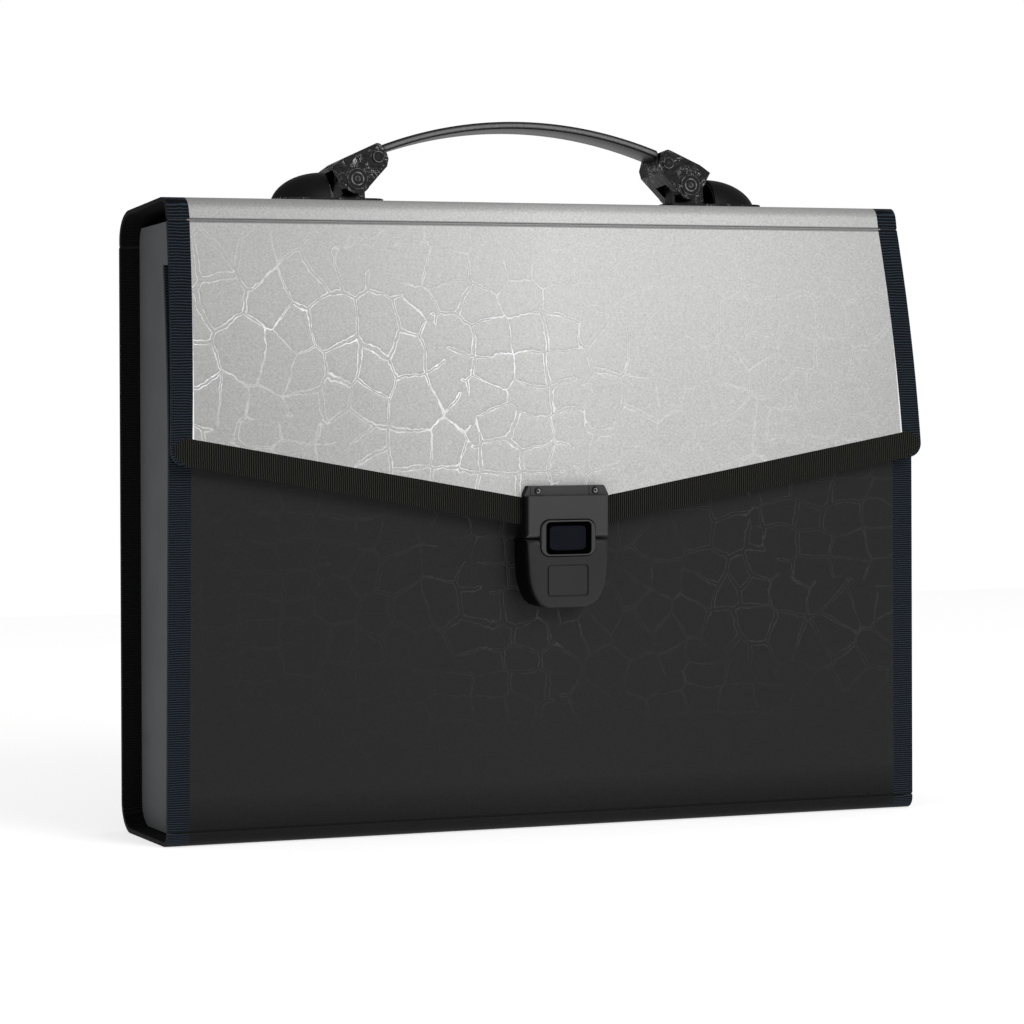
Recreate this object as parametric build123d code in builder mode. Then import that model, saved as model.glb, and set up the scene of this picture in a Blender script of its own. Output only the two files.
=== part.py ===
from build123d import *
from math import atan2, cos, degrees, radians, sin, tan
import os

os.makedirs("parts", exist_ok=True)

# Expanding file case with a wrap-round sheet body, a lid with a V-shaped flap,
# pleated side gussets, a push-button lock and a flexing strap handle.
# Millimetres. X runs to the right, Y to the back and Z up.
# The origin is on the outer face of the base, at its middle.

# Wrap: sheet and binding tape
case_width = 330.0
fold_width = 322.0
case_depth = 61.0
sheet = 1.8
tape = 0.4
tape_width = 9.0
crease_gap = 0.15

# Body: base, back and front
front_bend_radius = 4.7
front_crease_height = 5.0
back_bend_radius = 12.0
back_crease_height = 234.0
front_flat_height = 140.0
front_top_height = 226.0
front_top_setback = 7.3
front_top_width = 326.0

# Lid and flap
lid_front_setback = 11.0
lid_front_height = 254.2
lid_back_height = 248.4
lid_back_bend = 12.0
lid_front_bend = 6.0
flap_crease_height = 245.5
flap_crease_lead = 2.0
flap_tip_lead = 7.6
flap_bow = 3.8
flap_tip_height = 120.6
flap_slope = 0.178
flap_corner_width = 330.0
flap_corner_radius = 6.0
edge_tape_width = 11.0
tip_notch_width = 28.0
tip_notch_height = 127.5

# Pleated gussets and dividers
pocket_count = 13
gusset_recess = 8.0
pleat_depth = 4.3
gusset_sheet = 0.7
gusset_bottom = 3.0
gusset_top = 236.0
divider_sheet = 0.8
divider_lift = 1.6
divider_top = 218.0
divider_gap = 0.4
tab_width = 44.0
tab_height = 11.0
tabs_across = 6

# Strip that joins the lid to the back
hinge_strip_height = 14.0

# Handle
handle_y = 8.3
handle_width = 20.0
pin_spread = 148.8
pin_height = 10.7
pin_radius = 2.5
pin_head_radius = 4.3
pin_head = 0.8
pin_clearance = 0.06
handle_drop_angle = 4.4
strap_rise = 34.8
strap_radius = 178.5
strap_thickness = 3.0
strap_width = 17.0
strap_end = 60.0
crown_split = 0.25
bracket_inner = 62.0
bracket_outer = 108.5
bracket_plate = 3.0
lug_width = 9.8
lug_radius = 5.0
cheek_gap = 0.3
arm_eye_radius = 6.0
fork_room = 0.6
fork_headroom = 2.0
cap_inner = 85.8
cap_height = 14.6
cap_wall = 1.6
cap_edge_radius = 4.0
bracket_rivet_radius = 1.8
bracket_rivet_head = 3.2
backing_plate = 0.8
strap_rivet_radius = 1.3

# Lock
lock_front = 12.0
lock_split = 118.5
lock_split_gap = 0.6
lock_half_width = 18.4
lock_top = 139.4
lock_top_half = 16.6
lock_bottom = 90.0
lock_ledge_height = 4.1
lock_ledge_step = 1.4
lock_wall = 1.8
lock_edge_radius = 1.8
bezel_width = 24.1
bezel_height = 14.8
bezel_corner = 4.0
bezel_stand = 1.0
bezel_bevel = 1.2
bezel_back = 4.0
bezel_gap = 0.4
button_width = 16.4
button_height = 10.1
button_corner = 2.2
button_gap = 0.35
button_recess = 0.9
button_cap = 2.4
button_travel = 2.0
stem_height = 4.2
label_width = 18.2
label_height = 12.9
label_corner = 1.6
label_depth = 0.5
label_centre = 101.2
lock_plate = 4.0
lock_plate_width = 30.0
lock_plate_top = 133.0
lock_plate_waist = 108.5
lock_floor = 1.0
hook_plate = 1.2
hook_width = 10.0
hook_low = 122.0
hook_high = 125.5
hook_nose = 1.3
hook_nose_thickness = 0.9
hook_reach = 3.1
hook_slot_width = 13.0
hook_slot_top = 131.0
latch_width = 10.0
latch_thickness = 1.1
latch_bottom = 104.0
latch_gap = 0.3
latch_front_gap = 0.2
spring_strip = 0.3
spring_waves = 3
clasp_rivet_spread = 25.2
clasp_rivet_radius = 1.0
clasp_rivet_head = 1.7
lock_rivet_spread = 18.0
lock_rivet_radius = 1.5
lock_rivet_low = 99.0
lock_rivet_high = 110.0

# Worked-out places on the side profile, as (Y, Z)
half_sheet = sheet / 2
half_width = case_width / 2
front_face = -case_depth / 2
back_face = case_depth / 2
front_mid = front_face + half_sheet
back_mid = back_face - half_sheet
inner_front = front_face + sheet
inner_back = back_face - sheet
edge_start = sheet + crease_gap
front_crease = (front_mid, front_crease_height)
back_crease = (back_mid, back_crease_height)

lid_front_corner = (front_face + lid_front_setback, lid_front_height)
lid_slope = (lid_front_height - lid_back_height) / (case_depth - lid_front_setback)
lid_tilt = degrees(atan2(lid_front_height - lid_back_height, case_depth - lid_front_setback))
flap_crease = (
    lid_front_corner[0] - flap_crease_lead + half_sheet,
    flap_crease_height,
)
flap_tip = (front_face - flap_tip_lead + half_sheet, flap_tip_height)


def line_between(start, end, share):
    """Return the point that lies at a share of the way from start to end."""
    return tuple(a + (b - a) * share for a, b in zip(start, end))


def front_panel_path():
    """Middle line of the front panel, from its flat lower edge to its top."""
    flat_top = (front_mid, front_flat_height)
    with BuildLine() as path:
        flat = Line((front_mid, front_crease_height + edge_start), flat_top)
        TangentArc(
            flat_top,
            (front_mid + front_top_setback, front_top_height),
            tangent=flat % 1,
        )
    return path.line


def body_path():
    """Middle line of the base and back, with a bend at each end of the base."""
    with BuildLine() as path:
        FilletPolyline(
            front_crease,
            (front_mid, half_sheet),
            (back_mid, half_sheet),
            back_crease,
            radius=(front_bend_radius - half_sheet, back_bend_radius - half_sheet),
        )
    return path.line


def lid_path():
    """Middle line of the lid, from its edge on the back to its front crease."""
    drop = half_sheet / cos(radians(lid_tilt))
    back_corner = (back_mid, lid_back_height + lid_slope * half_sheet - drop)
    front_corner = (
        lid_front_corner[0] + half_sheet,
        lid_front_height - lid_slope * half_sheet - drop,
    )
    with BuildLine() as path:
        FilletPolyline(
            (back_mid, back_crease_height + edge_start),
            back_corner,
            front_corner,
            flap_crease,
            radius=(lid_back_bend - half_sheet, lid_front_bend - half_sheet),
        )
    return path.line


def flap_path():
    """Middle line of the bowed flap, from its crease down to its tip."""
    chord_y = flap_tip[0] - flap_crease[0]
    chord_z = flap_tip[1] - flap_crease[1]
    chord = (chord_y**2 + chord_z**2) ** 0.5
    across = (chord_z / chord, -chord_y / chord)
    start = line_between(flap_crease, flap_tip, edge_start / chord)
    middle = line_between(flap_crease, flap_tip, 0.5)
    crown = (middle[0] + across[0] * flap_bow, middle[1] + across[1] * flap_bow)
    with BuildLine() as path:
        ThreePointArc(start, crown, flap_tip)
    return path.line


def sheet_section(path, thickness):
    """Section of a bent sheet along a path, with round ends past the path's ends."""
    with BuildSketch(Plane.YZ) as section:
        middle = Wire(path.edges())
        make_face(middle.offset_2d(thickness / 2, side=Side.BOTH).edges())
    return section.sketch


body_section = sheet_section(body_path(), sheet)
body_tongue = sheet_section(body_path(), sheet - 2 * tape)
front_section = sheet_section(front_panel_path(), sheet)
front_tongue = sheet_section(front_panel_path(), sheet - 2 * tape)
lid_section = sheet_section(lid_path(), sheet)
lid_tongue = sheet_section(lid_path(), sheet - 2 * tape)
flap_section = sheet_section(flap_path(), sheet)
flap_tongue = sheet_section(flap_path(), sheet - 2 * tape)


def save(piece, label):
    """Label a finished piece and write it as one file."""
    piece.part.label = label
    export_step(piece.part, f"parts/{label}.step")


# Outlines that trim each sheet, as seen square to its face
def body_outline(inset):
    """Plan outline of the base and back, set in from the sides."""
    with BuildSketch(Plane.XY) as outline:
        Rectangle(case_width - 2 * inset, case_depth + 2 * sheet)
    return outline.sketch


def front_outline(inset):
    """Outline of the front panel, which narrows a little to its top."""
    low = front_crease_height - sheet
    high = front_top_height + sheet
    low_half = half_width - inset
    high_half = front_top_width / 2 - inset
    with BuildSketch(Plane.XZ) as outline:
        Polygon(
            (-low_half, low),
            (low_half, low),
            (high_half, high),
            (-high_half, high),
            align=None,
        )
    return outline.sketch


def lid_outline(inset):
    """Plan outline of the lid, which narrows to its front fold."""
    front = flap_crease[0] - sheet
    back = back_face + sheet
    front_half = fold_width / 2 - inset
    back_half = half_width - inset
    with BuildSketch(Plane.XY) as outline:
        Polygon(
            (-front_half, front),
            (front_half, front),
            (back_half, back),
            (-back_half, back),
            align=None,
        )
    return outline.sketch


def flap_outline(side_inset, edge_inset, notch=True):
    """Outline of the flap: straight sides and a shallow V with a cut tip."""
    top = flap_crease_height + sheet
    top_half = fold_width / 2 - side_inset
    corner_half = flap_corner_width / 2 - side_inset
    corner = flap_tip_height + flap_slope * corner_half + edge_inset
    tip = flap_tip_height + edge_inset
    with BuildSketch(Plane.XZ) as outline:
        Polygon(
            (-top_half, top),
            (top_half, top),
            (corner_half, corner),
            (0, tip),
            (-corner_half, corner),
            align=None,
        )
        if side_inset < flap_corner_radius:
            corners = outline.vertices().group_by(Axis.X)
            fillet(corners[0] + corners[-1], flap_corner_radius - side_inset)
        if notch:
            with Locations((0, tip_notch_height)):
                Rectangle(
                    tip_notch_width - 2 * min(edge_inset, tape),
                    2 * (tip_notch_height - flap_tip_height) + sheet,
                    mode=Mode.SUBTRACT,
                )
    return outline.sketch


def trimmed_sheet(section, outline, reach):
    """Sheet of a section across the case, trimmed to an outline."""
    with BuildPart() as trimmed:
        extrude(section, amount=case_width, both=True)
        extrude(outline, amount=reach, both=True, mode=Mode.INTERSECT)
    return trimmed.part


plan_reach = lid_front_height + sheet
view_reach = case_depth


def bound_sheet(name, section, tongue, outline_at, reach):
    """Make a sheet whose edge is pressed thinner where its tape is sewn on."""
    with BuildPart() as panel:
        add(trimmed_sheet(section, outline_at(tape_width), reach))
        add(trimmed_sheet(tongue, outline_at(tape), reach))
    save(panel, name)
    return panel


def bound_tape(name, panel, section, outline_at, reach, side):
    """Make the tape that is folded over one side edge of a bound sheet."""
    with BuildPart() as binding:
        add(trimmed_sheet(section, outline_at(0), reach))
        add(panel.part, mode=Mode.SUBTRACT)
        split(bisect_by=Plane.YZ, keep=Keep.TOP if side > 0 else Keep.BOTTOM)
    save(binding, name)


# Base and back, one black sheet with two bends
back_panel = bound_sheet("back_panel", body_section, body_tongue, body_outline, plan_reach)
bound_tape("back_tape_left", back_panel, body_section, body_outline, plan_reach, -1)
bound_tape("back_tape_right", back_panel, body_section, body_outline, plan_reach, 1)

# Tape strip sewn over the crease where the lid joins the back
with BuildPart() as hinge_strip:
    strip_middle = back_crease_height - sheet - hinge_strip_height / 2
    with Locations((0, back_face + tape / 2, strip_middle)):
        Box(case_width - 2 * tape_width, tape, hinge_strip_height)
save(hinge_strip, "hinge_strip")

# Front panel, with the holes for the lock's rivets
lock_rivet_heights = (lock_rivet_low, lock_rivet_high)
front_panel = bound_sheet(
    "front_panel", front_section, front_tongue, front_outline, view_reach
)
bound_tape("front_tape_left", front_panel, front_section, front_outline, view_reach, -1)
bound_tape("front_tape_right", front_panel, front_section, front_outline, view_reach, 1)
with front_panel:
    for rivet_height in lock_rivet_heights:
        with Locations(Plane.XZ.offset(-front_face)):
            with GridLocations(lock_rivet_spread, 1, 2, 1):
                with Locations((0, rivet_height)):
                    Cylinder(lock_rivet_radius, 3 * sheet, mode=Mode.SUBTRACT)
save(front_panel, "front_panel")


def front_inner_y(height):
    """Depth of the front panel's inner face at a height, or of the flap's above it."""
    if height <= front_flat_height:
        return inner_front
    if height > front_top_height:
        lean = (flap_crease[0] - flap_tip[0]) / (flap_crease[1] - flap_tip[1])
        return inner_front + front_top_setback + 2 * lean * (height - front_top_height)
    rise = height - front_flat_height
    full_rise = front_top_height - front_flat_height
    radius = (full_rise**2 + front_top_setback**2) / (2 * front_top_setback)
    return inner_front + radius - (radius**2 - rise**2) ** 0.5


def base_inner_z(depth):
    """Height of the inner face of the base, and of its bend into the back."""
    bend_centre = back_face - back_bend_radius
    if depth <= bend_centre:
        return sheet
    bend_inner = back_bend_radius - sheet
    return back_bend_radius - (bend_inner**2 - (depth - bend_centre) ** 2) ** 0.5


# Pleated side gussets, with one pleat to each pocket
def gusset_section(side, height):
    """Zigzag section of a gusset at a height, from the front to the back."""
    ridge = side * (half_width - gusset_recess)
    valley = ridge - side * pleat_depth
    front_end = front_inner_y(height) + divider_gap
    pitch = (inner_back - divider_gap - front_end) / (2 * pocket_count)
    outer = []
    for step in range(2 * pocket_count + 1):
        across = ridge if step % 2 else valley
        outer.append((across, front_end + step * pitch))
    inner = [(x - side * gusset_sheet, y) for x, y in reversed(outer)]
    with BuildSketch(Plane.XY.offset(height)) as section:
        Polygon(*outer, *inner, align=None)
    return section.sketch


gusset_heights = (
    gusset_bottom,
    front_flat_height,
    (front_flat_height + front_top_height) / 2,
    front_top_height,
    gusset_top,
)
body_clearance = sheet_section(body_path(), sheet + 2 * divider_gap)
for side, side_name in ((-1, "left"), (1, "right")):
    with BuildPart() as gusset:
        levels = [gusset_section(side, height).face() for height in gusset_heights]
        loft(levels, ruled=True)
        extrude(body_clearance, amount=case_width, both=True, mode=Mode.SUBTRACT)
    save(gusset, f"gusset_{side_name}")

# Dividers between the pockets, each with an index tab, leaning back with the front
divider_width = 2 * (half_width - gusset_recess - pleat_depth - gusset_sheet - divider_gap)
tab_step = (divider_width - tab_width - 2 * tape_width) / (tabs_across - 1)
divider_feet = []
for number in range(1, pocket_count):
    share = number / pocket_count
    foot_y = inner_back + (inner_front - inner_back) * share
    foot = (foot_y, base_inner_z(foot_y + divider_sheet) + divider_lift)
    head_front = front_inner_y(divider_top)
    head = (inner_back + (head_front - inner_back) * share, divider_top)
    divider_feet.append(foot)
    lean = atan2(head[0] - foot[0], head[1] - foot[1])
    height = (head[1] - foot[1]) / cos(lean)
    face = Plane(
        origin=(0, foot[0], foot[1]),
        x_dir=(1, 0, 0),
        z_dir=(0, -cos(lean), sin(lean)),
    )
    tab_at = -divider_width / 2 + tab_width / 2 + tape_width
    tab_at += tab_step * ((number - 1) % tabs_across)
    with BuildPart() as divider:
        with BuildSketch(face):
            with Locations((0, height / 2)):
                Rectangle(divider_width, height)
            with Locations((tab_at, height)):
                RectangleRounded(tab_width, 2 * tab_height, tab_height / 4)
        extrude(amount=divider_sheet / 2, both=True)
    save(divider, f"divider_{number:02d}")

# Lid, a silver sheet that turns over the top from the back to the front fold
handle_plane = Plane(
    origin=(0, handle_y, lid_front_height - (handle_y - lid_front_corner[0]) * lid_slope),
    x_dir=(1, 0, 0),
    z_dir=(0, sin(radians(lid_tilt)), cos(radians(lid_tilt))),
)
bracket_rivet_places = (bracket_inner + 4.0, bracket_outer - 12.0)
lid_panel = bound_sheet("lid_panel", lid_section, lid_tongue, lid_outline, plan_reach)
bound_tape("lid_tape_left", lid_panel, lid_section, lid_outline, plan_reach, -1)
bound_tape("lid_tape_right", lid_panel, lid_section, lid_outline, plan_reach, 1)
with lid_panel:
    with Locations(handle_plane):
        for rivet_x in bracket_rivet_places:
            with GridLocations(2 * rivet_x, 1, 2, 1):
                Cylinder(bracket_rivet_radius, 3 * sheet, mode=Mode.SUBTRACT)
save(lid_panel, "lid_panel")


# Flap, with its side tapes and the wider tape along the V
def flap_field(inset):
    """Flap outline inside its tapes, or the pressed edge under them."""
    return flap_outline(inset, edge_tape_width if inset > tape else inset)


clasp_rivet_height = lock_top - lock_ledge_height / 2
flap_panel = bound_sheet("flap_panel", flap_section, flap_tongue, flap_field, view_reach)
with BuildPart() as flap_bindings:
    add(trimmed_sheet(flap_section, flap_outline(0, 0), view_reach))
    add(flap_panel.part, mode=Mode.SUBTRACT)
side_limit = trimmed_sheet(
    flap_section, flap_outline(tape_width, 0, notch=False), view_reach
)
with BuildPart() as flap_edge_tape:
    add(flap_bindings.part)
    add(side_limit, mode=Mode.INTERSECT)
save(flap_edge_tape, "flap_edge_tape")
for side, side_name in ((-1, "left"), (1, "right")):
    with BuildPart() as flap_side_tape:
        add(flap_bindings.part)
        add(side_limit, mode=Mode.SUBTRACT)
        split(bisect_by=Plane.YZ, keep=Keep.TOP if side > 0 else Keep.BOTTOM)
    save(flap_side_tape, f"flap_tape_{side_name}")
with flap_panel:
    with Locations(Plane.XZ.offset(-flap_tip[0])):
        with GridLocations(clasp_rivet_spread, 1, 2, 1):
            with Locations((0, clasp_rivet_height)):
                Cylinder(clasp_rivet_radius, 4 * sheet, mode=Mode.SUBTRACT)
save(flap_panel, "flap_panel")


# Handle brackets: a foot plate and the lug that carries the pin
def outward(side, distance):
    """Place along the handle at a distance outward from its middle."""
    return side * distance


pin_x = pin_spread / 2
pin_hole = pin_radius + pin_clearance
drop = radians(handle_drop_angle)
crown_rise = strap_rise - pin_height
crown_radius = (pin_x**2 + crown_rise**2) ** 0.5
crown_angle = atan2(crown_rise, pin_x)
slide_out = 2 * (crown_radius * cos(crown_angle - drop) - pin_x)

for side, side_name in ((-1, "left"), (1, "right")):
    slot_length = slide_out if side > 0 else 0.0
    lug_middle = outward(side, pin_x + slot_length / 2)
    plate_middle = outward(side, (bracket_inner + bracket_outer) / 2)
    with BuildPart() as bracket:
        with BuildSketch(handle_plane):
            with Locations((plate_middle, 0)):
                RectangleRounded(
                    bracket_outer - bracket_inner, handle_width, handle_width / 4
                )
        extrude(amount=bracket_plate)
        lug_plane = Plane(
            origin=handle_plane.from_local_coords((lug_middle, 0, pin_height)),
            x_dir=(1, 0, 0),
            z_dir=handle_plane.y_dir * -1,
        )
        with BuildSketch(lug_plane):
            SlotCenterToCenter(slot_length + 0.01, 2 * lug_radius)
            with Locations((0, -pin_height / 2)):
                Rectangle(slot_length + 2 * lug_radius, pin_height)
        extrude(amount=lug_width / 2, both=True)
        with BuildSketch(lug_plane):
            if side > 0:
                SlotCenterToCenter(slot_length, 2 * pin_hole)
            else:
                Circle(pin_hole)
        extrude(amount=handle_width, both=True, mode=Mode.SUBTRACT)
        with Locations(handle_plane):
            for rivet_x in bracket_rivet_places:
                with Locations((outward(side, rivet_x), 0, 0)):
                    Cylinder(bracket_rivet_radius, 3 * bracket_plate, mode=Mode.SUBTRACT)
    save(bracket, f"handle_bracket_{side_name}")

    # Domed cap over the outer end of the bracket
    cap_plane = Plane(
        origin=handle_plane.from_local_coords((0, 0, 0)),
        x_dir=(1, 0, 0),
        z_dir=handle_plane.y_dir * -1,
    )
    cap_length = bracket_outer - cap_inner
    with BuildPart() as cap:
        with BuildSketch(cap_plane):
            with Locations((outward(side, cap_inner), 0)):
                Ellipse(cap_length, cap_height)
            with Locations((outward(side, cap_inner + cap_length / 2), cap_height / 2)):
                Rectangle(cap_length, cap_height, mode=Mode.INTERSECT)
        extrude(amount=handle_width / 2, both=True)
        rim = cap.edges().filter_by(GeomType.ELLIPSE)
        fillet(rim, cap_edge_radius)
        with BuildSketch(cap_plane):
            with Locations((outward(side, cap_inner), 0)):
                Ellipse(cap_length - cap_wall, cap_height - cap_wall)
        extrude(amount=handle_width / 2 - cap_wall, both=True, mode=Mode.SUBTRACT)
        with BuildSketch(handle_plane):
            with Locations((plate_middle, 0)):
                RectangleRounded(
                    bracket_outer - bracket_inner, handle_width, handle_width / 4
                )
        extrude(amount=bracket_plate, mode=Mode.SUBTRACT)
    save(cap, f"bracket_cap_{side_name}")

# Rivets that hold both brackets, and the plates inside the lid that back them
with BuildPart() as bracket_rivets:
    for rivet_x in bracket_rivet_places:
        for side in (-1, 1):
            with BuildSketch(handle_plane.offset(-sheet - backing_plate)):
                with Locations((outward(side, rivet_x), 0)):
                    Circle(bracket_rivet_radius)
            extrude(amount=sheet + backing_plate + bracket_plate)
            for head_level in (bracket_plate, -sheet - backing_plate - tape):
                with BuildSketch(handle_plane.offset(head_level)):
                    with Locations((outward(side, rivet_x), 0)):
                        Circle(bracket_rivet_head)
                extrude(amount=tape)
save(bracket_rivets, "bracket_rivets")

with BuildPart() as backing_plates:
    with BuildSketch(handle_plane.offset(-sheet - backing_plate)):
        for side in (-1, 1):
            with Locations((outward(side, (bracket_inner + bracket_outer) / 2), 0)):
                RectangleRounded(
                    bracket_outer - bracket_inner, handle_width, handle_width / 4
                )
        for rivet_x in bracket_rivet_places:
            with GridLocations(2 * rivet_x, 1, 2, 1):
                Circle(bracket_rivet_radius, mode=Mode.SUBTRACT)
    extrude(amount=backing_plate)
save(backing_plates, "handle_backing_plates")


# Handle arms: forked shoes that turn on the pins and hold the strap's ends
def arm_point(side, inward, rise):
    """Point of an arm's outline, measured inward and up from its pin."""
    return (side * (pin_x - inward), pin_height + rise)


def strap_height(distance):
    """Height of the strap's middle line at a distance from the crown."""
    return strap_rise - strap_radius + (strap_radius**2 - distance**2) ** 0.5


side_plane = Plane(
    origin=handle_plane.origin,
    x_dir=(1, 0, 0),
    z_dir=handle_plane.y_dir * -1,
)
strap_end_angle = atan2(strap_end, strap_radius)
strap_slope = tan(strap_end_angle)
cheek = (handle_width - lug_width) / 2 - cheek_gap
strap_rivet_inward = 9.6
strap_rivet_rise = 9.2

for side, side_name in ((-1, "left"), (1, "right")):
    strap_tip = (side * (strap_end + 6.0), strap_height(strap_end + 6.0))
    with BuildPart() as arm:
        with BuildSketch(side_plane):
            Polygon(
                arm_point(side, -9.6, 5.4),
                arm_point(side, -5.0, 8.6),
                arm_point(side, 9.8, 15.2),
                arm_point(side, 12.6, 12.9),
                arm_point(side, 14.0, 8.6),
                arm_point(side, 13.2, 5.4),
                arm_point(side, 4.6, -3.6),
                arm_point(side, -5.6, -1.2),
                align=None,
            )
            with Locations(arm_point(side, 0, 0)):
                Circle(arm_eye_radius)
        extrude(amount=handle_width / 2, both=True)
        long_edges = arm.edges().filter_by(Axis(side_plane.origin, side_plane.z_dir))
        fillet(long_edges.group_by(Axis.Z)[-1], 2.0)
        fork_outward = slide_out + lug_radius + fork_room
        fork_inward = slide_out + lug_radius + fork_room
        fork_top = lug_radius + fork_headroom
        fork_depth = fork_top + pin_height
        with BuildSketch(side_plane):
            with Locations(arm_point(side, 0, fork_top - fork_depth / 2)):
                Rectangle(fork_outward + fork_inward, fork_depth)
        extrude(amount=lug_width / 2 + cheek_gap, both=True, mode=Mode.SUBTRACT)
        with BuildSketch(side_plane):
            with Locations(arm_point(side, 0, 0)):
                Circle(pin_hole)
            with Locations(arm_point(side, strap_rivet_inward, strap_rivet_rise)):
                Circle(strap_rivet_radius)
        extrude(amount=handle_width, both=True, mode=Mode.SUBTRACT)
        with BuildSketch(side_plane):
            with BuildLine():
                ThreePointArc(
                    (0, strap_rise),
                    (side * strap_end / 2, strap_height(strap_end / 2)),
                    strap_tip,
                )
            trace(line_width=strap_thickness)
        extrude(amount=strap_width / 2, both=True, mode=Mode.SUBTRACT)
    save(arm, f"handle_arm_{side_name}")

    # Half of the strap, from the crown to its end inside the arm
    with BuildPart() as strap:
        with BuildSketch(side_plane):
            with BuildLine():
                ThreePointArc(
                    (side * crown_split, strap_height(crown_split)),
                    (side * strap_end / 2, strap_height(strap_end / 2)),
                    strap_tip,
                )
            trace(line_width=strap_thickness)
        extrude(amount=strap_width / 2, both=True)
        with BuildSketch(side_plane):
            with Locations(arm_point(side, strap_rivet_inward, strap_rivet_rise)):
                Circle(strap_rivet_radius)
        extrude(amount=handle_width, both=True, mode=Mode.SUBTRACT)
    save(strap, f"handle_strap_{side_name}")

    # Headed pin through the arm and the bracket's lug
    with BuildPart() as pin:
        with BuildSketch(side_plane):
            with Locations(arm_point(side, 0, 0)):
                Circle(pin_radius)
        extrude(amount=handle_width / 2 + pin_head, both=True)
        for face_level in (handle_width / 2, -handle_width / 2 - pin_head):
            with BuildSketch(side_plane.offset(face_level)):
                with Locations(arm_point(side, 0, 0)):
                    Circle(pin_head_radius)
            extrude(amount=pin_head)
        heads = pin.edges().filter_by(GeomType.CIRCLE)
        fillet(heads.group_by(Axis(side_plane.origin, side_plane.z_dir))[-1], pin_head / 3)
    save(pin, f"handle_pin_{side_name}")

    # Rivet that keeps the strap's end in the arm
    with BuildPart() as strap_rivet:
        with BuildSketch(side_plane):
            with Locations(arm_point(side, strap_rivet_inward, strap_rivet_rise)):
                Circle(strap_rivet_radius)
        extrude(amount=handle_width / 2, both=True)
        for face_level in (handle_width / 2, -handle_width / 2 - tape):
            with BuildSketch(side_plane.offset(face_level)):
                with Locations(arm_point(side, strap_rivet_inward, strap_rivet_rise)):
                    Circle(2 * strap_rivet_radius)
            extrude(amount=tape)
    save(strap_rivet, f"strap_rivet_{side_name}")

# Lock: places measured from the front panel's face
lock_face = front_face - lock_front
plate_face = front_face - lock_plate
flap_inner = flap_tip[0] + half_sheet
flap_outer = flap_tip[0] - half_sheet
bezel_centre = lock_split - lock_split_gap / 2 + 0.2
front_view = Plane.XZ


def lower_lock_outline(inset):
    """Outline of the lower half of the lock, a tapering round-ended shield."""
    half = lock_half_width - inset
    with BuildSketch(front_view.offset(-front_face)) as outline:
        with BuildLine():
            Polyline(
                (-half * 0.62, lock_bottom + inset + 1.6),
                (-half * 0.86, label_centre - inset / 2),
                (-half, lock_split - lock_split_gap),
                (half, lock_split - lock_split_gap),
                (half * 0.86, label_centre - inset / 2),
                (half * 0.62, lock_bottom + inset + 1.6),
            )
            ThreePointArc(
                (half * 0.62, lock_bottom + inset + 1.6),
                (0, lock_bottom + inset),
                (-half * 0.62, lock_bottom + inset + 1.6),
            )
        make_face()
        corners = outline.vertices().group_by(Axis.Z)
        fillet(corners[0], 5.0)
        fillet(outline.vertices().filter_by_position(Axis.Z, label_centre - 2, label_centre + 2), 12.0)
    return outline.sketch


with BuildPart() as lock_cover:
    extrude(lower_lock_outline(0), amount=lock_front)
    front_rim = lock_cover.faces().sort_by(Axis.Y)[0].edges()
    fillet(front_rim, lock_edge_radius)
    extrude(
        lower_lock_outline(lock_wall), amount=lock_front - lock_wall, mode=Mode.SUBTRACT
    )
    with BuildSketch(front_view.offset(-front_face)):
        with Locations((0, (lock_plate_top + lock_plate_waist) / 2)):
            Rectangle(
                lock_plate_width + 2 * latch_gap,
                lock_plate_top - lock_plate_waist + 2 * latch_gap,
            )
    extrude(amount=lock_plate + latch_gap, mode=Mode.SUBTRACT)
    with BuildSketch(front_view.offset(-lock_face)):
        with Locations((0, label_centre)):
            RectangleRounded(label_width, label_height, label_corner)
    extrude(amount=-label_depth, mode=Mode.SUBTRACT)
    with BuildSketch(front_view.offset(-lock_face)):
        with Locations((0, bezel_centre)):
            RectangleRounded(bezel_width, bezel_height, bezel_corner)
    extrude(amount=-lock_front / 2, mode=Mode.SUBTRACT)
save(lock_cover, "lock_cover")

# Mounting plate behind both halves, with the hook's slot and the latch's channel
latch_back = plate_face + latch_front_gap + latch_thickness + latch_gap / 3
latch_top = hook_low - latch_gap
channel_bottom = latch_bottom - 8.0
with BuildPart() as lock_base:
    extrude(lower_lock_outline(lock_wall + latch_gap), amount=lock_plate)
    with BuildSketch(front_view.offset(-front_face)):
        with Locations((0, (lock_plate_top + lock_plate_waist) / 2)):
            RectangleRounded(
                lock_plate_width, lock_plate_top - lock_plate_waist, 3.0
            )
    extrude(amount=lock_plate)
    with BuildSketch(front_view.offset(-plate_face)):
        with Locations((0, (latch_top + channel_bottom) / 2)):
            Rectangle(latch_width + 2 * latch_gap, latch_top - channel_bottom)
    extrude(amount=plate_face - latch_back, mode=Mode.SUBTRACT)
    with BuildSketch(front_view.offset(-plate_face)):
        slot_bottom = hook_low - hook_nose - latch_gap
        with Locations((0, (hook_slot_top + slot_bottom) / 2)):
            Rectangle(hook_slot_width, hook_slot_top - slot_bottom)
    extrude(amount=lock_floor - lock_plate, mode=Mode.SUBTRACT)
    with BuildSketch(front_view.offset(-front_face)):
        for rivet_height in lock_rivet_heights:
            with GridLocations(lock_rivet_spread, 1, 2, 1):
                with Locations((0, rivet_height)):
                    Circle(lock_rivet_radius)
    extrude(amount=lock_plate, mode=Mode.SUBTRACT)
save(lock_base, "lock_base")

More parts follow.
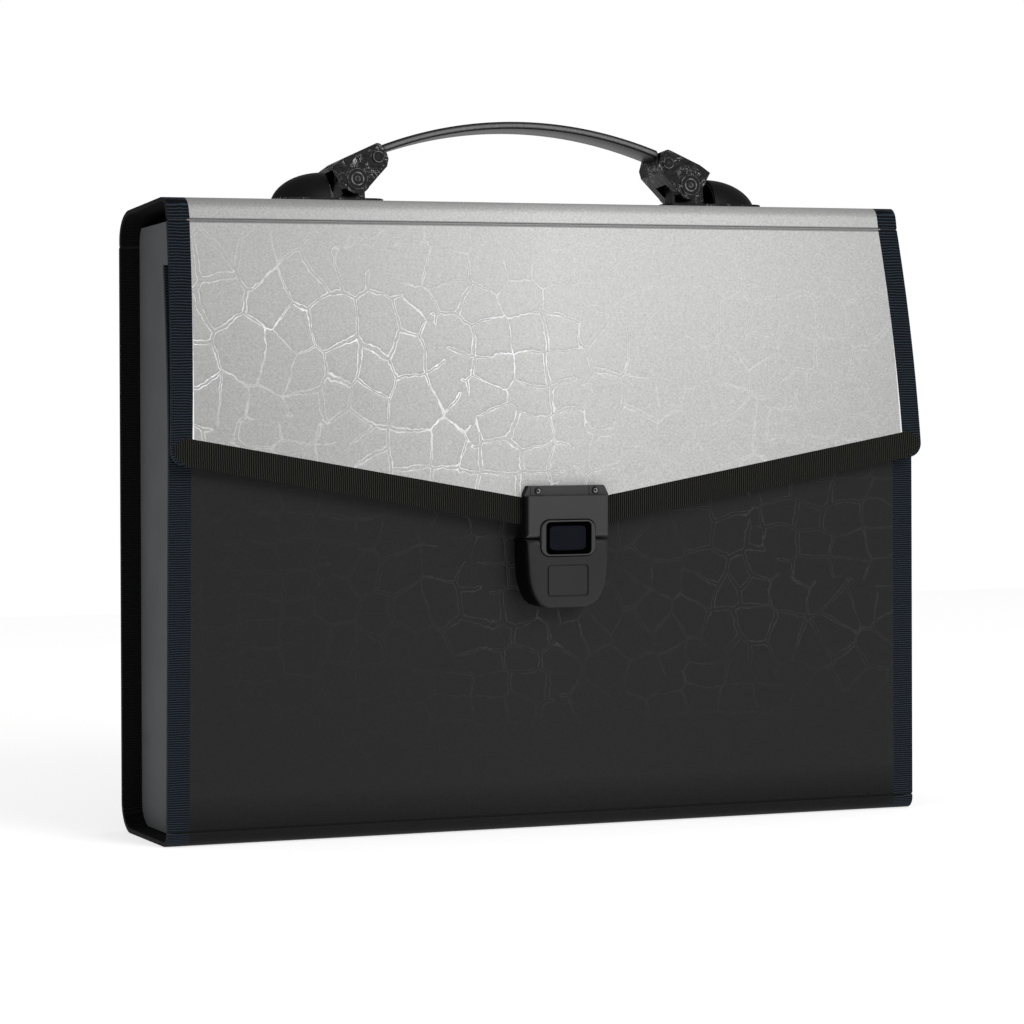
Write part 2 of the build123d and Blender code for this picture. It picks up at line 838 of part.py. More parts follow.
# Plate inside the front panel that backs the lock, and the rivets through both
with BuildPart() as lock_backing:
    with BuildSketch(front_view.offset(-inner_front - backing_plate)):
        with Locations((0, sum(lock_rivet_heights) / 2)):
            RectangleRounded(lock_plate_width, lock_plate_width, 3.0)
        for rivet_height in lock_rivet_heights:
            with GridLocations(lock_rivet_spread, 1, 2, 1):
                with Locations((0, rivet_height)):
                    Circle(lock_rivet_radius, mode=Mode.SUBTRACT)
    extrude(amount=backing_plate)
save(lock_backing, "lock_backing_plate")

with BuildPart() as lock_rivets:
    for rivet_height in lock_rivet_heights:
        for side in (-1, 1):
            place = (side * lock_rivet_spread / 2, rivet_height)
            with BuildSketch(front_view.offset(-inner_front - backing_plate)):
                with Locations(place):
                    Circle(lock_rivet_radius)
            extrude(amount=backing_plate + sheet + lock_plate)
            for level in (inner_front + backing_plate + tape, plate_face):
                with BuildSketch(front_view.offset(-level)):
                    with Locations(place):
                        Circle(2 * lock_rivet_radius - tape)
                extrude(amount=tape)
save(lock_rivets, "lock_rivets")

# Bezel round the button, standing on the plate with two legs
with BuildPart() as lock_bezel:
    bezel_front = lock_face - bezel_stand
    bezel_rear = bezel_front + bezel_back
    with BuildSketch(front_view.offset(-bezel_rear)):
        with Locations((0, bezel_centre)):
            RectangleRounded(
                bezel_width - 2 * bezel_gap / 2,
                bezel_height - 2 * bezel_gap / 2,
                bezel_corner - bezel_gap / 2,
            )
    extrude(amount=bezel_back)
    fillet(lock_bezel.faces().sort_by(Axis.Y)[0].edges(), bezel_stand / 2)
    with BuildSketch(front_view.offset(-bezel_rear)):
        with Locations((0, bezel_centre)):
            RectangleRounded(
                button_width + 2 * button_gap,
                button_height + 2 * button_gap,
                button_corner + button_gap,
            )
    extrude(amount=bezel_back, mode=Mode.SUBTRACT)
    mouth = lock_bezel.faces().sort_by(Axis.Y)[0].inner_wires()[0].edges()
    chamfer(mouth, bezel_bevel)
    leg_x = bezel_width / 2 - lock_wall
    leg_top = hook_low - hook_nose - 3.0
    leg_low = bezel_centre - bezel_height / 2 + bezel_corner
    with BuildSketch(front_view.offset(-plate_face)):
        with GridLocations(2 * leg_x - lock_wall, 1, 2, 1):
            with Locations((0, (leg_top + leg_low) / 2)):
                Rectangle(lock_wall, leg_top - leg_low)
    extrude(amount=plate_face - bezel_rear)
save(lock_bezel, "lock_bezel")

# Push button, with a wedge under its stem
button_face = bezel_front + button_recess
button_rear = button_face + button_cap
stem_rear = plate_face + latch_front_gap - button_travel - latch_gap
stem_low = bezel_centre - button_height / 2 + button_gap
stem_top = stem_low + stem_height
wedge = stem_rear - bezel_rear
with BuildPart() as lock_button:
    with BuildSketch(front_view.offset(-button_rear)):
        with Locations((0, bezel_centre)):
            RectangleRounded(button_width, button_height, button_corner)
    extrude(amount=button_cap)
    fillet(lock_button.faces().sort_by(Axis.Y)[0].edges(), 0.6)
    with BuildSketch(Plane.YZ):
        Polygon(
            (button_rear - tape, stem_top),
            (stem_rear, stem_top),
            (stem_rear, stem_low + wedge),
            (bezel_rear, stem_low),
            (button_rear - tape, stem_low),
            align=None,
        )
    extrude(amount=latch_width / 3, both=True)
save(lock_button, "lock_button")

# Latch bar, whose lip stands behind the hook's nose and whose ramp meets the stem
latch_front = plate_face + latch_front_gap
ramp_front = bezel_rear + latch_gap
ramp_drop = latch_gap * 2**0.5
ramp_low = latch_bottom + 4.0
ramp_top = stem_low + latch_front - bezel_rear - ramp_drop
with BuildPart() as latch_bar:
    with BuildSketch(Plane.YZ):
        with BuildLine():
            Polyline(
                (latch_front, latch_bottom),
                (latch_front + latch_thickness, latch_bottom),
                (latch_front + latch_thickness, latch_top),
                (latch_front, latch_top),
                close=True,
            )
        make_face()
    extrude(amount=latch_width / 2, both=True)
    with BuildSketch(Plane.YZ):
        Polygon(
            (latch_front + latch_thickness / 2, ramp_low),
            (latch_front + latch_thickness / 2, ramp_top),
            (latch_front, ramp_top),
            (ramp_front, stem_low + ramp_front - bezel_rear - ramp_drop),
            (ramp_front, ramp_low),
            align=None,
        )
    extrude(amount=latch_width / 3, both=True)
save(latch_bar, "latch_bar")

# Flat wave spring under the latch bar
wave_height = (latch_bottom - channel_bottom - 2 * spring_strip) / (2 * spring_waves)
with BuildPart() as latch_spring:
    wave_points = []
    for step in range(2 * spring_waves + 1):
        wave_side = latch_width / 4 if step % 2 else -latch_width / 4
        wave_points.append((wave_side, channel_bottom + spring_strip + step * wave_height))
    with BuildSketch(front_view.offset(-latch_front - latch_thickness)):
        with BuildLine():
            Polyline(*wave_points)
        trace(line_width=spring_strip)
    extrude(amount=latch_thickness - spring_strip)
save(latch_spring, "latch_spring")

# Upper half of the lock on the flap's tip, with a ledge for its rivets
with BuildPart() as clasp_cover:
    with BuildSketch(front_view.offset(-flap_outer - half_sheet)):
        Polygon(
            (-lock_half_width, lock_split),
            (lock_half_width, lock_split),
            (lock_half_width, lock_top - lock_ledge_height + 0.6),
            (lock_top_half, lock_top),
            (-lock_top_half, lock_top),
            (-lock_half_width, lock_top - lock_ledge_height + 0.6),
            align=None,
        )
    extrude(amount=flap_outer + half_sheet - lock_face)
    fillet(clasp_cover.faces().sort_by(Axis.Y)[0].edges(), lock_edge_radius)
    extrude(flap_section, amount=case_width, both=True, mode=Mode.SUBTRACT)
    with BuildSketch(front_view.offset(-lock_face)):
        with Locations((0, lock_top)):
            Rectangle(2 * case_depth, 2 * lock_ledge_height)
    extrude(amount=-lock_ledge_step, mode=Mode.SUBTRACT)
    with BuildSketch(front_view.offset(-lock_face)):
        with Locations((0, bezel_centre)):
            RectangleRounded(
                bezel_width + bezel_gap, bezel_height + bezel_gap, bezel_corner
            )
    extrude(amount=-lock_front, mode=Mode.SUBTRACT)
    with BuildSketch(front_view.offset(-lock_face)):
        with GridLocations(clasp_rivet_spread, 1, 2, 1):
            with Locations((0, clasp_rivet_height)):
                Circle(clasp_rivet_radius)
    extrude(amount=-lock_front, mode=Mode.SUBTRACT)
save(clasp_cover, "clasp_cover")

# Plate inside the flap's tip, with the hook that enters the lower half
hook_tip = flap_inner + hook_plate + hook_reach
with BuildPart() as clasp_hook:
    with BuildSketch(front_view.offset(-flap_inner - hook_plate)):
        with Locations((0, (lock_top + hook_low) / 2)):
            RectangleRounded(
                2 * lock_top_half - tape_width / 3, lock_top - hook_low, 1.5
            )
    extrude(amount=hook_plate + half_sheet)
    extrude(flap_section, amount=case_width, both=True, mode=Mode.SUBTRACT)
    with BuildSketch(Plane.YZ):
        Polygon(
            (flap_inner + hook_plate / 2, hook_low),
            (hook_tip - hook_nose_thickness, hook_low),
            (hook_tip - hook_nose_thickness, hook_low - hook_nose),
            (hook_tip, hook_low - hook_nose),
            (hook_tip, hook_high),
            (flap_inner + hook_plate / 2, hook_high),
            align=None,
        )
    extrude(amount=hook_width / 2, both=True)
    with BuildSketch(front_view.offset(-hook_tip)):
        with GridLocations(clasp_rivet_spread, 1, 2, 1):
            with Locations((0, clasp_rivet_height)):
                Circle(clasp_rivet_radius)
    extrude(amount=lock_front, mode=Mode.SUBTRACT)
save(clasp_hook, "clasp_hook")

# Rivets through the ledge, the flap and the hook's plate
ledge_face = lock_face + lock_ledge_step
with BuildPart() as clasp_rivets:
    for side in (-1, 1):
        place = (side * clasp_rivet_spread / 2, clasp_rivet_height)
        with BuildSketch(front_view.offset(-flap_inner - hook_plate)):
            with Locations(place):
                Circle(clasp_rivet_radius)
        extrude(amount=flap_inner + hook_plate - ledge_face)
        for level in (ledge_face, flap_inner + hook_plate + tape):
            with BuildSketch(front_view.offset(-level)):
                with Locations(place):
                    Circle(clasp_rivet_head)
            extrude(amount=tape)
save(clasp_rivets, "clasp_rivets")
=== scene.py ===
"""Looks of an expanding file case: embossed sheets, ribbed tapes, pleated sides,
a push-button lock and a strap handle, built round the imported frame."""

from math import asin, cos, pi, radians, sin

import bpy
from mathutils import Matrix, Vector


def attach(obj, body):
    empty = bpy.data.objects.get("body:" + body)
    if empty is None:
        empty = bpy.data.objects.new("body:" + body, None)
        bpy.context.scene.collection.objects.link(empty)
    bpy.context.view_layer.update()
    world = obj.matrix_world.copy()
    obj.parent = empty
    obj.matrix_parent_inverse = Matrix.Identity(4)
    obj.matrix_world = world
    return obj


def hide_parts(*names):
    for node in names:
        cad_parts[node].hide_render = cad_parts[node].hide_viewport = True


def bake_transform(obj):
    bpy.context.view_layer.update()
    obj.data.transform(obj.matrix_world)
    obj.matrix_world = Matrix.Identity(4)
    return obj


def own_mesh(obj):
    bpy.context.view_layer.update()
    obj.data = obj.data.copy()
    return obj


bl_info = {
    "name": "Expanding File Case",
    "version": (1, 0, 0),
    "blender": (4, 5, 0),
    "location": "View3D > Sidebar > File Case",
    "description": "Builds the visible pieces and materials of an expanding file case",
    "category": "Object",
}

SIDES = {"left": -1, "right": 1}
UPRIGHT = (radians(90.0), 0.0, 0.0)
TAPED = {
    "back": "back_tape",
    "front": "side_tape",
    "lid": "back_tape",
    "flap": "flap_side_tape",
}

# Lengths and places are in metres, in the frame's own axes

# Creases of the sheet, as depth and height on the side profile
FRONT_CREASE = (-0.0296, 0.0050)
BACK_CREASE = (0.0296, 0.2340)
FLAP_CREASE = (-0.0206, 0.2455)
CREASE_STEP = 0.00195
WEB_ROWS = 4

# Sheets
HALF_WIDTH = 0.165
FOLD_HALF_WIDTH = 0.161
SHEET = 0.0018
BACK_FACE = 0.0305
BACK_BEND = 0.012
INNER_BACK = 0.0287
INNER_FRONT = -0.0287
FRONT_FLAT_TOP = 0.140
FRONT_TOP = 0.226
FRONT_SETBACK = 0.0073
LID_BEND_HEIGHT = 0.2362
FLAP_FLARE = 0.004 / 0.125
FLAP_BORDER = 0.152 + FLAP_FLARE * FLAP_CREASE[1]
END_GAP = 0.0004

# Gussets, with their top edge's depth and its slope in degrees
GUSSET_TOP = 0.2448
GUSSET_SHEET = 0.0007
GUSSET_ROWS = 24
PLEAT_COLUMNS = 12
TOP_DEPTH = -0.0165
TOP_SLOPE = 3.0

# Wide tape along the V of the flap and its rounded corners
FLAP_SLOPE = 0.178
FLAP_TIP_HEIGHT = 0.1206
EDGE_TAPE = 0.011
CORNER_RADIUS = 0.006
CORNER_SIDE = HALF_WIDTH - CORNER_RADIUS
CORNER_HEIGHT = FLAP_TIP_HEIGHT + FLAP_SLOPE * HALF_WIDTH + CORNER_RADIUS

# Handle, measured from its origin on the lid
HANDLE_ORIGIN = Vector((0.0, 0.0083, 0.250975))
HANDLE_UP = Vector((0.0, 0.11521, 0.99334))
HANDLE_ACROSS = Vector((0.0, 0.99334, -0.11521))
PIN_X = 0.0744
PIN_HEIGHT = 0.0107
RIVET_X = PIN_X - 0.0096
RIVET_RISE = 0.0092
STRAP_REACH = 0.0655
STRAP_STEPS = 96
CAP_INNER = 0.0858
CAP_LENGTH = 0.0227
CAP_HEIGHT = 0.0146
CAP_HALF = 0.010
CAP_WALL = 0.0016
CAP_HOLLOW = 0.012
CAP_LIFT = 0.004
CAP_ROUND = 0.0012

# Lock: the lower shell's outline as height and half width, and what is cut out of it
LOCK_BACK = -0.0305
LOCK_FACE = -0.0425
LOCK_RIM = 0.0018
LOCK_WALL = 0.0016
LOCK_ROWS = (
    (0.1179, 0.0184),
    (0.1100, 0.0182),
    (0.1040, 0.0178),
    (0.1000, 0.0172),
    (0.0960, 0.0158),
    (0.0932, 0.0141),
    (0.0913, 0.0120),
    (0.0900, 0.0084),
)
BEZEL_CENTRE = 0.1184
LABEL_CENTRE = 0.1012
LABEL_FLOOR = -0.0420
LABEL_SIZE = (0.0170, 0.00045, 0.0117)
LABEL_CORNER = 0.0012
LOCK_CUTS = {
    "bezel": ((0.0, -0.0400, BEZEL_CENTRE), (0.0245, 0.0110, 0.0152), 0.0042),
    "plate": ((0.0, -0.0320, 0.1180), (0.0306, 0.0058, 0.0120), 0.0),
    "label": ((0.0, LOCK_FACE, LABEL_CENTRE), (0.0182, 0.0010, 0.0129), 0.0016),
}
LEDGE_FACE = -0.0411
PAD_X = 0.0128
PAD_SIZE = (0.0060, 0.0034)
PAD_STAND = 0.00025
CLASP_RIVET_X = 0.0126
CLASP_RIVET_HEIGHT = 0.13735
SPRING_DEPTH = -0.0336
SPRING_STRIP = (0.0009, 0.0008)

# Textures: where shades begin and how far patterns wander
SHADED_HEIGHT = 0.25
SHADE_BAND_HEIGHT = 0.04
INSIDE_SHADE_CENTRE = 0.2
FRONT_DEPTH = -0.012
HIGHLIGHT_MARGIN = 0.0012
SCALE_WANDER = 0.008
LINE_FRAY = 0.0010
RIB_WAVER = 0.0011
SCROLL_CURL = 0.02
BEZEL_ROUND = 0.002

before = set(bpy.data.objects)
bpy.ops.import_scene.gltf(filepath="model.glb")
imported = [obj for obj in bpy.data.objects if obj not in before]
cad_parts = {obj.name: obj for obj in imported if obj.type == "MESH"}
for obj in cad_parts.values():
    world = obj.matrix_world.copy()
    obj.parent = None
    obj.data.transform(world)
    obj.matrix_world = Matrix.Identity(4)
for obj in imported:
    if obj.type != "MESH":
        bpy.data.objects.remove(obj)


def deselect():
    """Leave edit mode and clear the selection."""
    if bpy.context.object and bpy.context.object.mode != "OBJECT":
        bpy.ops.object.mode_set(mode="OBJECT")
    bpy.ops.object.select_all(action="DESELECT")


def activate(piece):
    """Make one object the only selected and active one."""
    deselect()
    piece.select_set(True)
    bpy.context.view_layer.objects.active = piece


def edit(piece, mode="VERT"):
    """Enter edit mode on one object with nothing selected."""
    activate(piece)
    bpy.ops.object.mode_set(mode="EDIT")
    bpy.ops.mesh.select_mode(type=mode)
    bpy.ops.mesh.select_all(action="DESELECT")


def pick(piece, test, kind="vertices"):
    """Select the vertices, edges or faces of a mesh that pass a test."""
    bpy.ops.object.mode_set(mode="OBJECT")
    for element in piece.data.vertices:
        element.select = False
    for element in piece.data.edges:
        element.select = False
    for element in piece.data.polygons:
        element.select = False
    for element in getattr(piece.data, kind):
        element.select = bool(test(element))
    bpy.ops.object.mode_set(mode="EDIT")


def settle(piece, name, material):
    """Name a finished piece, place its material and put its origin at zero."""
    activate(piece)
    bpy.ops.object.transform_apply(location=True, rotation=True, scale=True)
    piece.name = name
    piece.data.name = name
    piece.data.materials.clear()
    piece.data.materials.append(bpy.data.materials[material])
    return piece


def apply_modifier(piece, kind, **values):
    """Add a modifier, set it and apply it."""
    activate(piece)
    modifier = piece.modifiers.new(kind.title(), kind)
    for key, value in values.items():
        setattr(modifier, key, value)
    bpy.ops.object.modifier_apply(modifier=modifier.name)


def flat_sheet(place, size, turn=(0.0, 0.0, 0.0)):
    """Flat sheet of one face at a place, with its size applied."""
    deselect()
    bpy.ops.mesh.primitive_plane_add(size=1.0, location=place, rotation=turn)
    piece = bpy.context.object
    piece.scale = (*size, 1.0)
    bpy.ops.object.transform_apply(location=True, rotation=True, scale=True)
    return piece


def draw_out(piece, steps):
    """Draw a flat sheet out along each step in turn and close it."""
    edit(piece, "FACE")
    bpy.ops.mesh.select_all(action="SELECT")
    for step in steps:
        bpy.ops.mesh.extrude_region_move(TRANSFORM_OT_translate={"value": step})
    outward_faces(piece)


def outward_faces(piece):
    """Point a closed mesh's faces outwards."""
    edit(piece)
    bpy.ops.mesh.select_all(action="SELECT")
    bpy.ops.mesh.remove_doubles(threshold=1e-6)
    bpy.ops.mesh.normals_make_consistent(inside=False)
    bpy.ops.object.mode_set(mode="OBJECT")


def opaque(colour, share=1.0):
    """Colour scaled by a share, with full cover."""
    return tuple(part * share for part in colour) + (1.0,)


class Net:
    """A node tree under construction."""

    def __init__(self, name):
        """Start a material and hold its tree and its shader."""
        self.material = bpy.data.materials.new(name)
        self.material.use_nodes = True
        self.tree = self.material.node_tree
        self.shader = self.tree.nodes["Principled BSDF"]

    def add(self, kind, inputs=None, **settings):
        """Add a node, set its properties and fill or link its inputs."""
        node = self.tree.nodes.new(kind)
        for key, value in settings.items():
            setattr(node, key, value)
        for key, value in (inputs or {}).items():
            if isinstance(value, bpy.types.NodeSocket):
                self.tree.links.new(value, node.inputs[key])
            else:
                node.inputs[key].default_value = value
        return node

    def math(self, operation, first, second=0.0, third=0.0):
        """Add a math node and return its value."""
        inputs = {0: first, 1: second}
        if operation == "MULTIPLY_ADD":
            inputs[2] = third
        return self.add("ShaderNodeMath", inputs, operation=operation).outputs[0]

    def vector(self, operation, first, second=None, scale=None):
        """Add a vector math node and return its vector, or its value if it has one."""
        inputs = {0: first}
        if second is not None:
            inputs[1] = second
        if scale is not None:
            inputs["Scale"] = scale
        node = self.add("ShaderNodeVectorMath", inputs, operation=operation)
        return node.outputs["Value" if operation in {"DOT_PRODUCT", "LENGTH"} else "Vector"]

    def reach(self, first, second):
        """Distance from zero of a point with two coordinates."""
        point = self.add("ShaderNodeCombineXYZ", {0: first, 1: second}).outputs[0]
        return self.vector("LENGTH", point)

    def between(self, factor, first, second):
        """Mix two plain values and return the result."""
        inputs = {0: factor, 2: first, 3: second}
        return self.add("ShaderNodeMix", inputs, data_type="FLOAT").outputs[0]

    def facing(self, axis):
        """How far the surface faces along an axis, from -1 to 1."""
        normal = self.add("ShaderNodeTexCoord").outputs["Normal"]
        return self.add("ShaderNodeSeparateXYZ", {0: normal}).outputs[axis]

    def ramp(self, factor, stops, interpolation="EASE"):
        """Add a grey ramp through (place, value) stops and return its colour."""
        node = self.add("ShaderNodeValToRGB", {"Fac": factor})
        node.color_ramp.interpolation = interpolation
        elements = node.color_ramp.elements
        while len(elements) < len(stops):
            elements.new(0.5)
        for element, (place, value) in zip(elements, stops):
            element.position = place
            element.color = (value, value, value, 1.0)
        return node.outputs["Color"]

    def noise(self, vector, scale, detail=2.0, roughness=0.5, dimensions="3D", output="Fac"):
        """Add a noise texture and return its value or its colour."""
        node = self.add(
            "ShaderNodeTexNoise",
            {"Vector": vector, "Scale": scale, "Detail": detail, "Roughness": roughness},
            noise_dimensions=dimensions,
        )
        return node.outputs[output]

    def mix(self, factor, first, second):
        """Mix two colours and return the result."""
        node = self.add("ShaderNodeMix", data_type="RGBA")
        pairs = ((node.inputs[0], factor), (node.inputs[6], first), (node.inputs[7], second))
        for socket, value in pairs:
            if isinstance(value, bpy.types.NodeSocket):
                self.tree.links.new(value, socket)
            else:
                socket.default_value = value
        return node.outputs[2]

    def place(self):
        """Object coordinates, whole and as separate values."""
        coordinates = self.add("ShaderNodeTexCoord").outputs["Object"]
        parts = self.add("ShaderNodeSeparateXYZ", {0: coordinates}).outputs
        return coordinates, parts[0], parts[1], parts[2]

    def finish(self, colour, roughness, height=None, distance=0.0002, strength=1.0, gloss=0.5):
        """Link colour, roughness and bump into the shader."""
        self.shader.inputs["Specular IOR Level"].default_value = gloss
        for name, value in (("Base Color", colour), ("Roughness", roughness)):
            if isinstance(value, bpy.types.NodeSocket):
                self.tree.links.new(value, self.shader.inputs[name])
            else:
                self.shader.inputs[name].default_value = value
        if height is not None:
            bump = self.add(
                "ShaderNodeBump",
                {"Height": height, "Distance": distance, "Strength": strength},
            )
            self.tree.links.new(bump.outputs[0], self.shader.inputs["Normal"])
        return self.material


def embossed_material(
    name,
    settings,
    colour,
    line_colour,
    line_share,
    grain_share,
    gloss,
    side_stops,
    height_stops,
    painted_light_stops,
    metal=0.0,
    silver_sheet=False,
):
    """Leatherette embossed with reptile scales, deeper in some parts than in others, with a painted
    sheen across its width and, on the silver sheets, painted highlight and shade at the tapes, the
    crease and the inner faces.
    """
    net = Net(name)
    coordinates, across, depth, height = net.place()
    rise = net.math("SUBTRACT", height, depth)
    flat = net.add("ShaderNodeCombineXYZ", {0: across, 1: rise}).outputs[0]
    warp = net.noise(flat, 38.0, dimensions="2D", output="Color")
    warp = net.vector("SUBTRACT", warp, (0.5, 0.5, 0.5))
    warped = net.vector("ADD", flat, net.vector("SCALE", warp, scale=SCALE_WANDER))
    fray = net.noise(flat, 420.0, 1.0, dimensions="2D", output="Color")
    warped = net.vector("ADD", warped, net.vector("SCALE", fray, scale=LINE_FRAY))

    def cells(scale, randomness, stretch):
        """Distance to the edge of each scale of the pattern."""
        mapped = net.add(
            "ShaderNodeMapping", {"Vector": warped, "Scale": (1.0 / stretch, stretch, 1.0)}
        ).outputs[0]
        return net.add(
            "ShaderNodeTexVoronoi",
            {"Vector": mapped, "Scale": scale, "Randomness": randomness},
            voronoi_dimensions="2D",
            feature="DISTANCE_TO_EDGE",
        ).outputs["Distance"]

    round_cells = cells(1.0 / settings.scale_size, 0.9, 1.0)
    row_cells = cells(1.0 / (settings.scale_size * 0.92), 0.42, 1.22)
    region = net.ramp(net.noise(flat, 11.0, 1.0, dimensions="2D"), ((0.47, 0.0), (0.53, 1.0)))
    edge = net.between(region, round_cells, row_cells)
    gap = net.math("MULTIPLY_ADD", net.noise(flat, 30.0, 2.0, 0.5, "2D"), 0.16, -0.045)
    offset = net.math("ABSOLUTE", net.math("SUBTRACT", edge, gap))
    lines = net.ramp(offset, ((0.0, 1.0), (0.011, 1.0), (0.024, 0.0)))
    broken = net.ramp(net.noise(flat, 260.0, 2.0, 0.6, "2D"), ((0.36, 0.45), (0.50, 1.0)))
    lines = net.math("MULTIPLY", lines, broken)
    pillow = net.ramp(net.math("SUBTRACT", edge, gap), ((0.0, 0.0), (0.10, 1.0)))
    presence = net.ramp(net.noise(flat, 13.0, 3.0, 0.6, "2D"), ((0.34, 0.25), (0.50, 1.0)))
    for value, low, span, stops in (
        (across, -HALF_WIDTH, 2.0 * HALF_WIDTH, side_stops),
        (height, 0.0, SHADED_HEIGHT, height_stops),
    ):
        share = net.math("DIVIDE", net.math("SUBTRACT", value, low), span)
        presence = net.math("MULTIPLY", presence, net.ramp(share, stops, "LINEAR"))
    crinkle = net.math(
        "MULTIPLY",
        net.noise(coordinates, 520.0, 3.0, 0.7),
        net.ramp(net.noise(flat, 16.0, 2.0, 0.5, "2D"), ((0.50, 0.15), (0.66, 1.0))),
    )
    shown = net.math("MULTIPLY", lines, presence)
    grain = net.noise(coordinates, 1300.0, 2.0, 0.75)
    tone = net.mix(
        net.ramp(grain, ((0.30, 0.0), (0.70, 1.0)), "LINEAR"),
        opaque(colour, 1.0 - grain_share),
        opaque(colour, 1.0 + grain_share),
    )
    # Painted sheen: the tone is scaled across the width, brighter towards the middle, in place of a
    # soft light's reflection.
    share = net.math("DIVIDE", net.math("ADD", across, HALF_WIDTH), 2.0 * HALF_WIDTH)
    tone = net.vector("SCALE", tone, scale=net.ramp(share, painted_light_stops, "LINEAR"))
    tone = net.mix(net.math("MULTIPLY", shown, line_share), tone, opaque(line_colour))
    if silver_sheet:
        side = net.math("ABSOLUTE", across)
        border = net.math("MULTIPLY_ADD", height, FLAP_FLARE, side)
        border = net.math("SUBTRACT", border, FLAP_BORDER)
        # Painted highlight: a thin light line along the inner edge of the flap's tape, where the
        # tape's step catches the light.
        edge_highlight = net.ramp(
            net.math("MULTIPLY_ADD", border, 500.0, 0.5), ((0.76, 0.0), (0.82, 1.0)), "LINEAR"
        )
        on_flap = net.math("LESS_THAN", height, FLAP_CREASE[1] - CREASE_STEP)
        tone = net.mix(net.math("MULTIPLY", edge_highlight, on_flap), tone, (0.85, 0.85, 0.85, 1.0))
        # Painted shade: a dark strip just under the flap's crease.
        fold = net.math("MULTIPLY", net.math("LESS_THAN", height, FLAP_CREASE[1]), 0.5)
        fold = net.math(
            "MULTIPLY", fold, net.math("GREATER_THAN", height, FLAP_CREASE[1] - CREASE_STEP)
        )
        tone = net.mix(fold, tone, (0.05, 0.05, 0.05, 1.0))
        taped = net.math("GREATER_THAN", border, HIGHLIGHT_MARGIN)
        tone = net.mix(taped, tone, (0.008, 0.012, 0.018, 1.0))
        # Painted shade: faces that turn inwards, towards a centre inside the case, are painted near
        # black.
        centred = net.vector("SUBTRACT", coordinates, (0.0, 0.0, INSIDE_SHADE_CENTRE))
        normal = net.add("ShaderNodeTexCoord").outputs["Normal"]
        outward = net.vector("DOT_PRODUCT", centred, normal)
        tone = net.mix(net.math("GREATER_THAN", outward, 0.0), (0.006, 0.006, 0.006, 1.0), tone)
    pillow = net.math("MULTIPLY", net.math("MULTIPLY", pillow, presence), 0.4)
    relief = net.math("ADD", shown, pillow)
    relief = net.math("MULTIPLY_ADD", crinkle, 0.5, relief)
    relief = net.math("MULTIPLY_ADD", grain, 0.22, relief)
    sheen = net.math("MULTIPLY_ADD", grain, 0.12, settings.sheet_roughness)
    net.shader.inputs["Metallic"].default_value = metal
    material = net.finish(tone, sheen, relief, settings.emboss_depth, 0.9, gloss)
    if not silver_sheet:
        # Painted shade: reflection is cut towards the bottom bend of the black sheets.
        low = net.math("DIVIDE", height, SHADE_BAND_HEIGHT)
        shaded = net.ramp(low, ((0.15, 0.3 * gloss), (0.5, gloss)), "LINEAR")
        net.tree.links.new(shaded, net.shader.inputs["Specular IOR Level"])
    return material


def ribbed_material(name, settings, axis, dark, light, over=None):
    """Woven tape with a rib at each pitch whose crests carry a painted highlight, and a second tape
    over a part of it.
    """
    net = Net(name)
    coordinates, across, depth, height = net.place()
    rise = net.math("SUBTRACT", height, depth)
    along = across if axis == "across" else rise
    dark, light = opaque(dark), opaque(light)
    if over:
        part, over_dark, over_highlight = over
        if part == "front":
            forward = net.math("LESS_THAN", net.facing(1), -0.45)
            within = net.math("MULTIPLY", forward, net.math("LESS_THAN", depth, FRONT_DEPTH))
            position = rise
        else:
            side = net.math("ABSOLUTE", across)
            beyond = net.math("MAXIMUM", net.math("SUBTRACT", side, CORNER_SIDE), 0.0)
            below = net.math("MAXIMUM", net.math("SUBTRACT", CORNER_HEIGHT, height), 0.0)
            reach = net.reach(net.math("MULTIPLY", beyond, 1.25), below)
            level = net.math("MULTIPLY_ADD", side, -FLAP_SLOPE, height)
            level = net.math("MULTIPLY_ADD", beyond, 0.8, level)
            low = net.math("LESS_THAN", level, FLAP_TIP_HEIGHT + EDGE_TAPE)
            inside = net.math("LESS_THAN", reach, CORNER_RADIUS)
            central = net.math("LESS_THAN", side, CORNER_SIDE)
            within = net.math("MULTIPLY", low, net.math("MAXIMUM", inside, central))
            position = across
        along = net.between(within, along, position)
        dark = net.mix(within, dark, opaque(over_dark))
        light = net.mix(within, light, opaque(over_highlight))
    # Painted highlight: each rib's crest takes the light colour.
    waver = net.math("MULTIPLY_ADD", net.noise(coordinates, 130.0, 4.0, 0.6), RIB_WAVER, along)
    turns = net.math("MULTIPLY", waver, 2.0 * pi / settings.rib_pitch)
    rib = net.math("MULTIPLY_ADD", net.math("SINE", turns), 0.5, 0.5)
    thread = net.noise(coordinates, 1900.0, 2.0, 0.8)
    tone = net.math("MULTIPLY", net.math("POWER", rib, 3.0), net.math("ADD", thread, 0.5))
    relief = net.math("MULTIPLY_ADD", thread, 0.3, rib)
    return net.finish(net.mix(tone, dark, light), 0.72, relief, 0.0003, 0.9, 0.12)


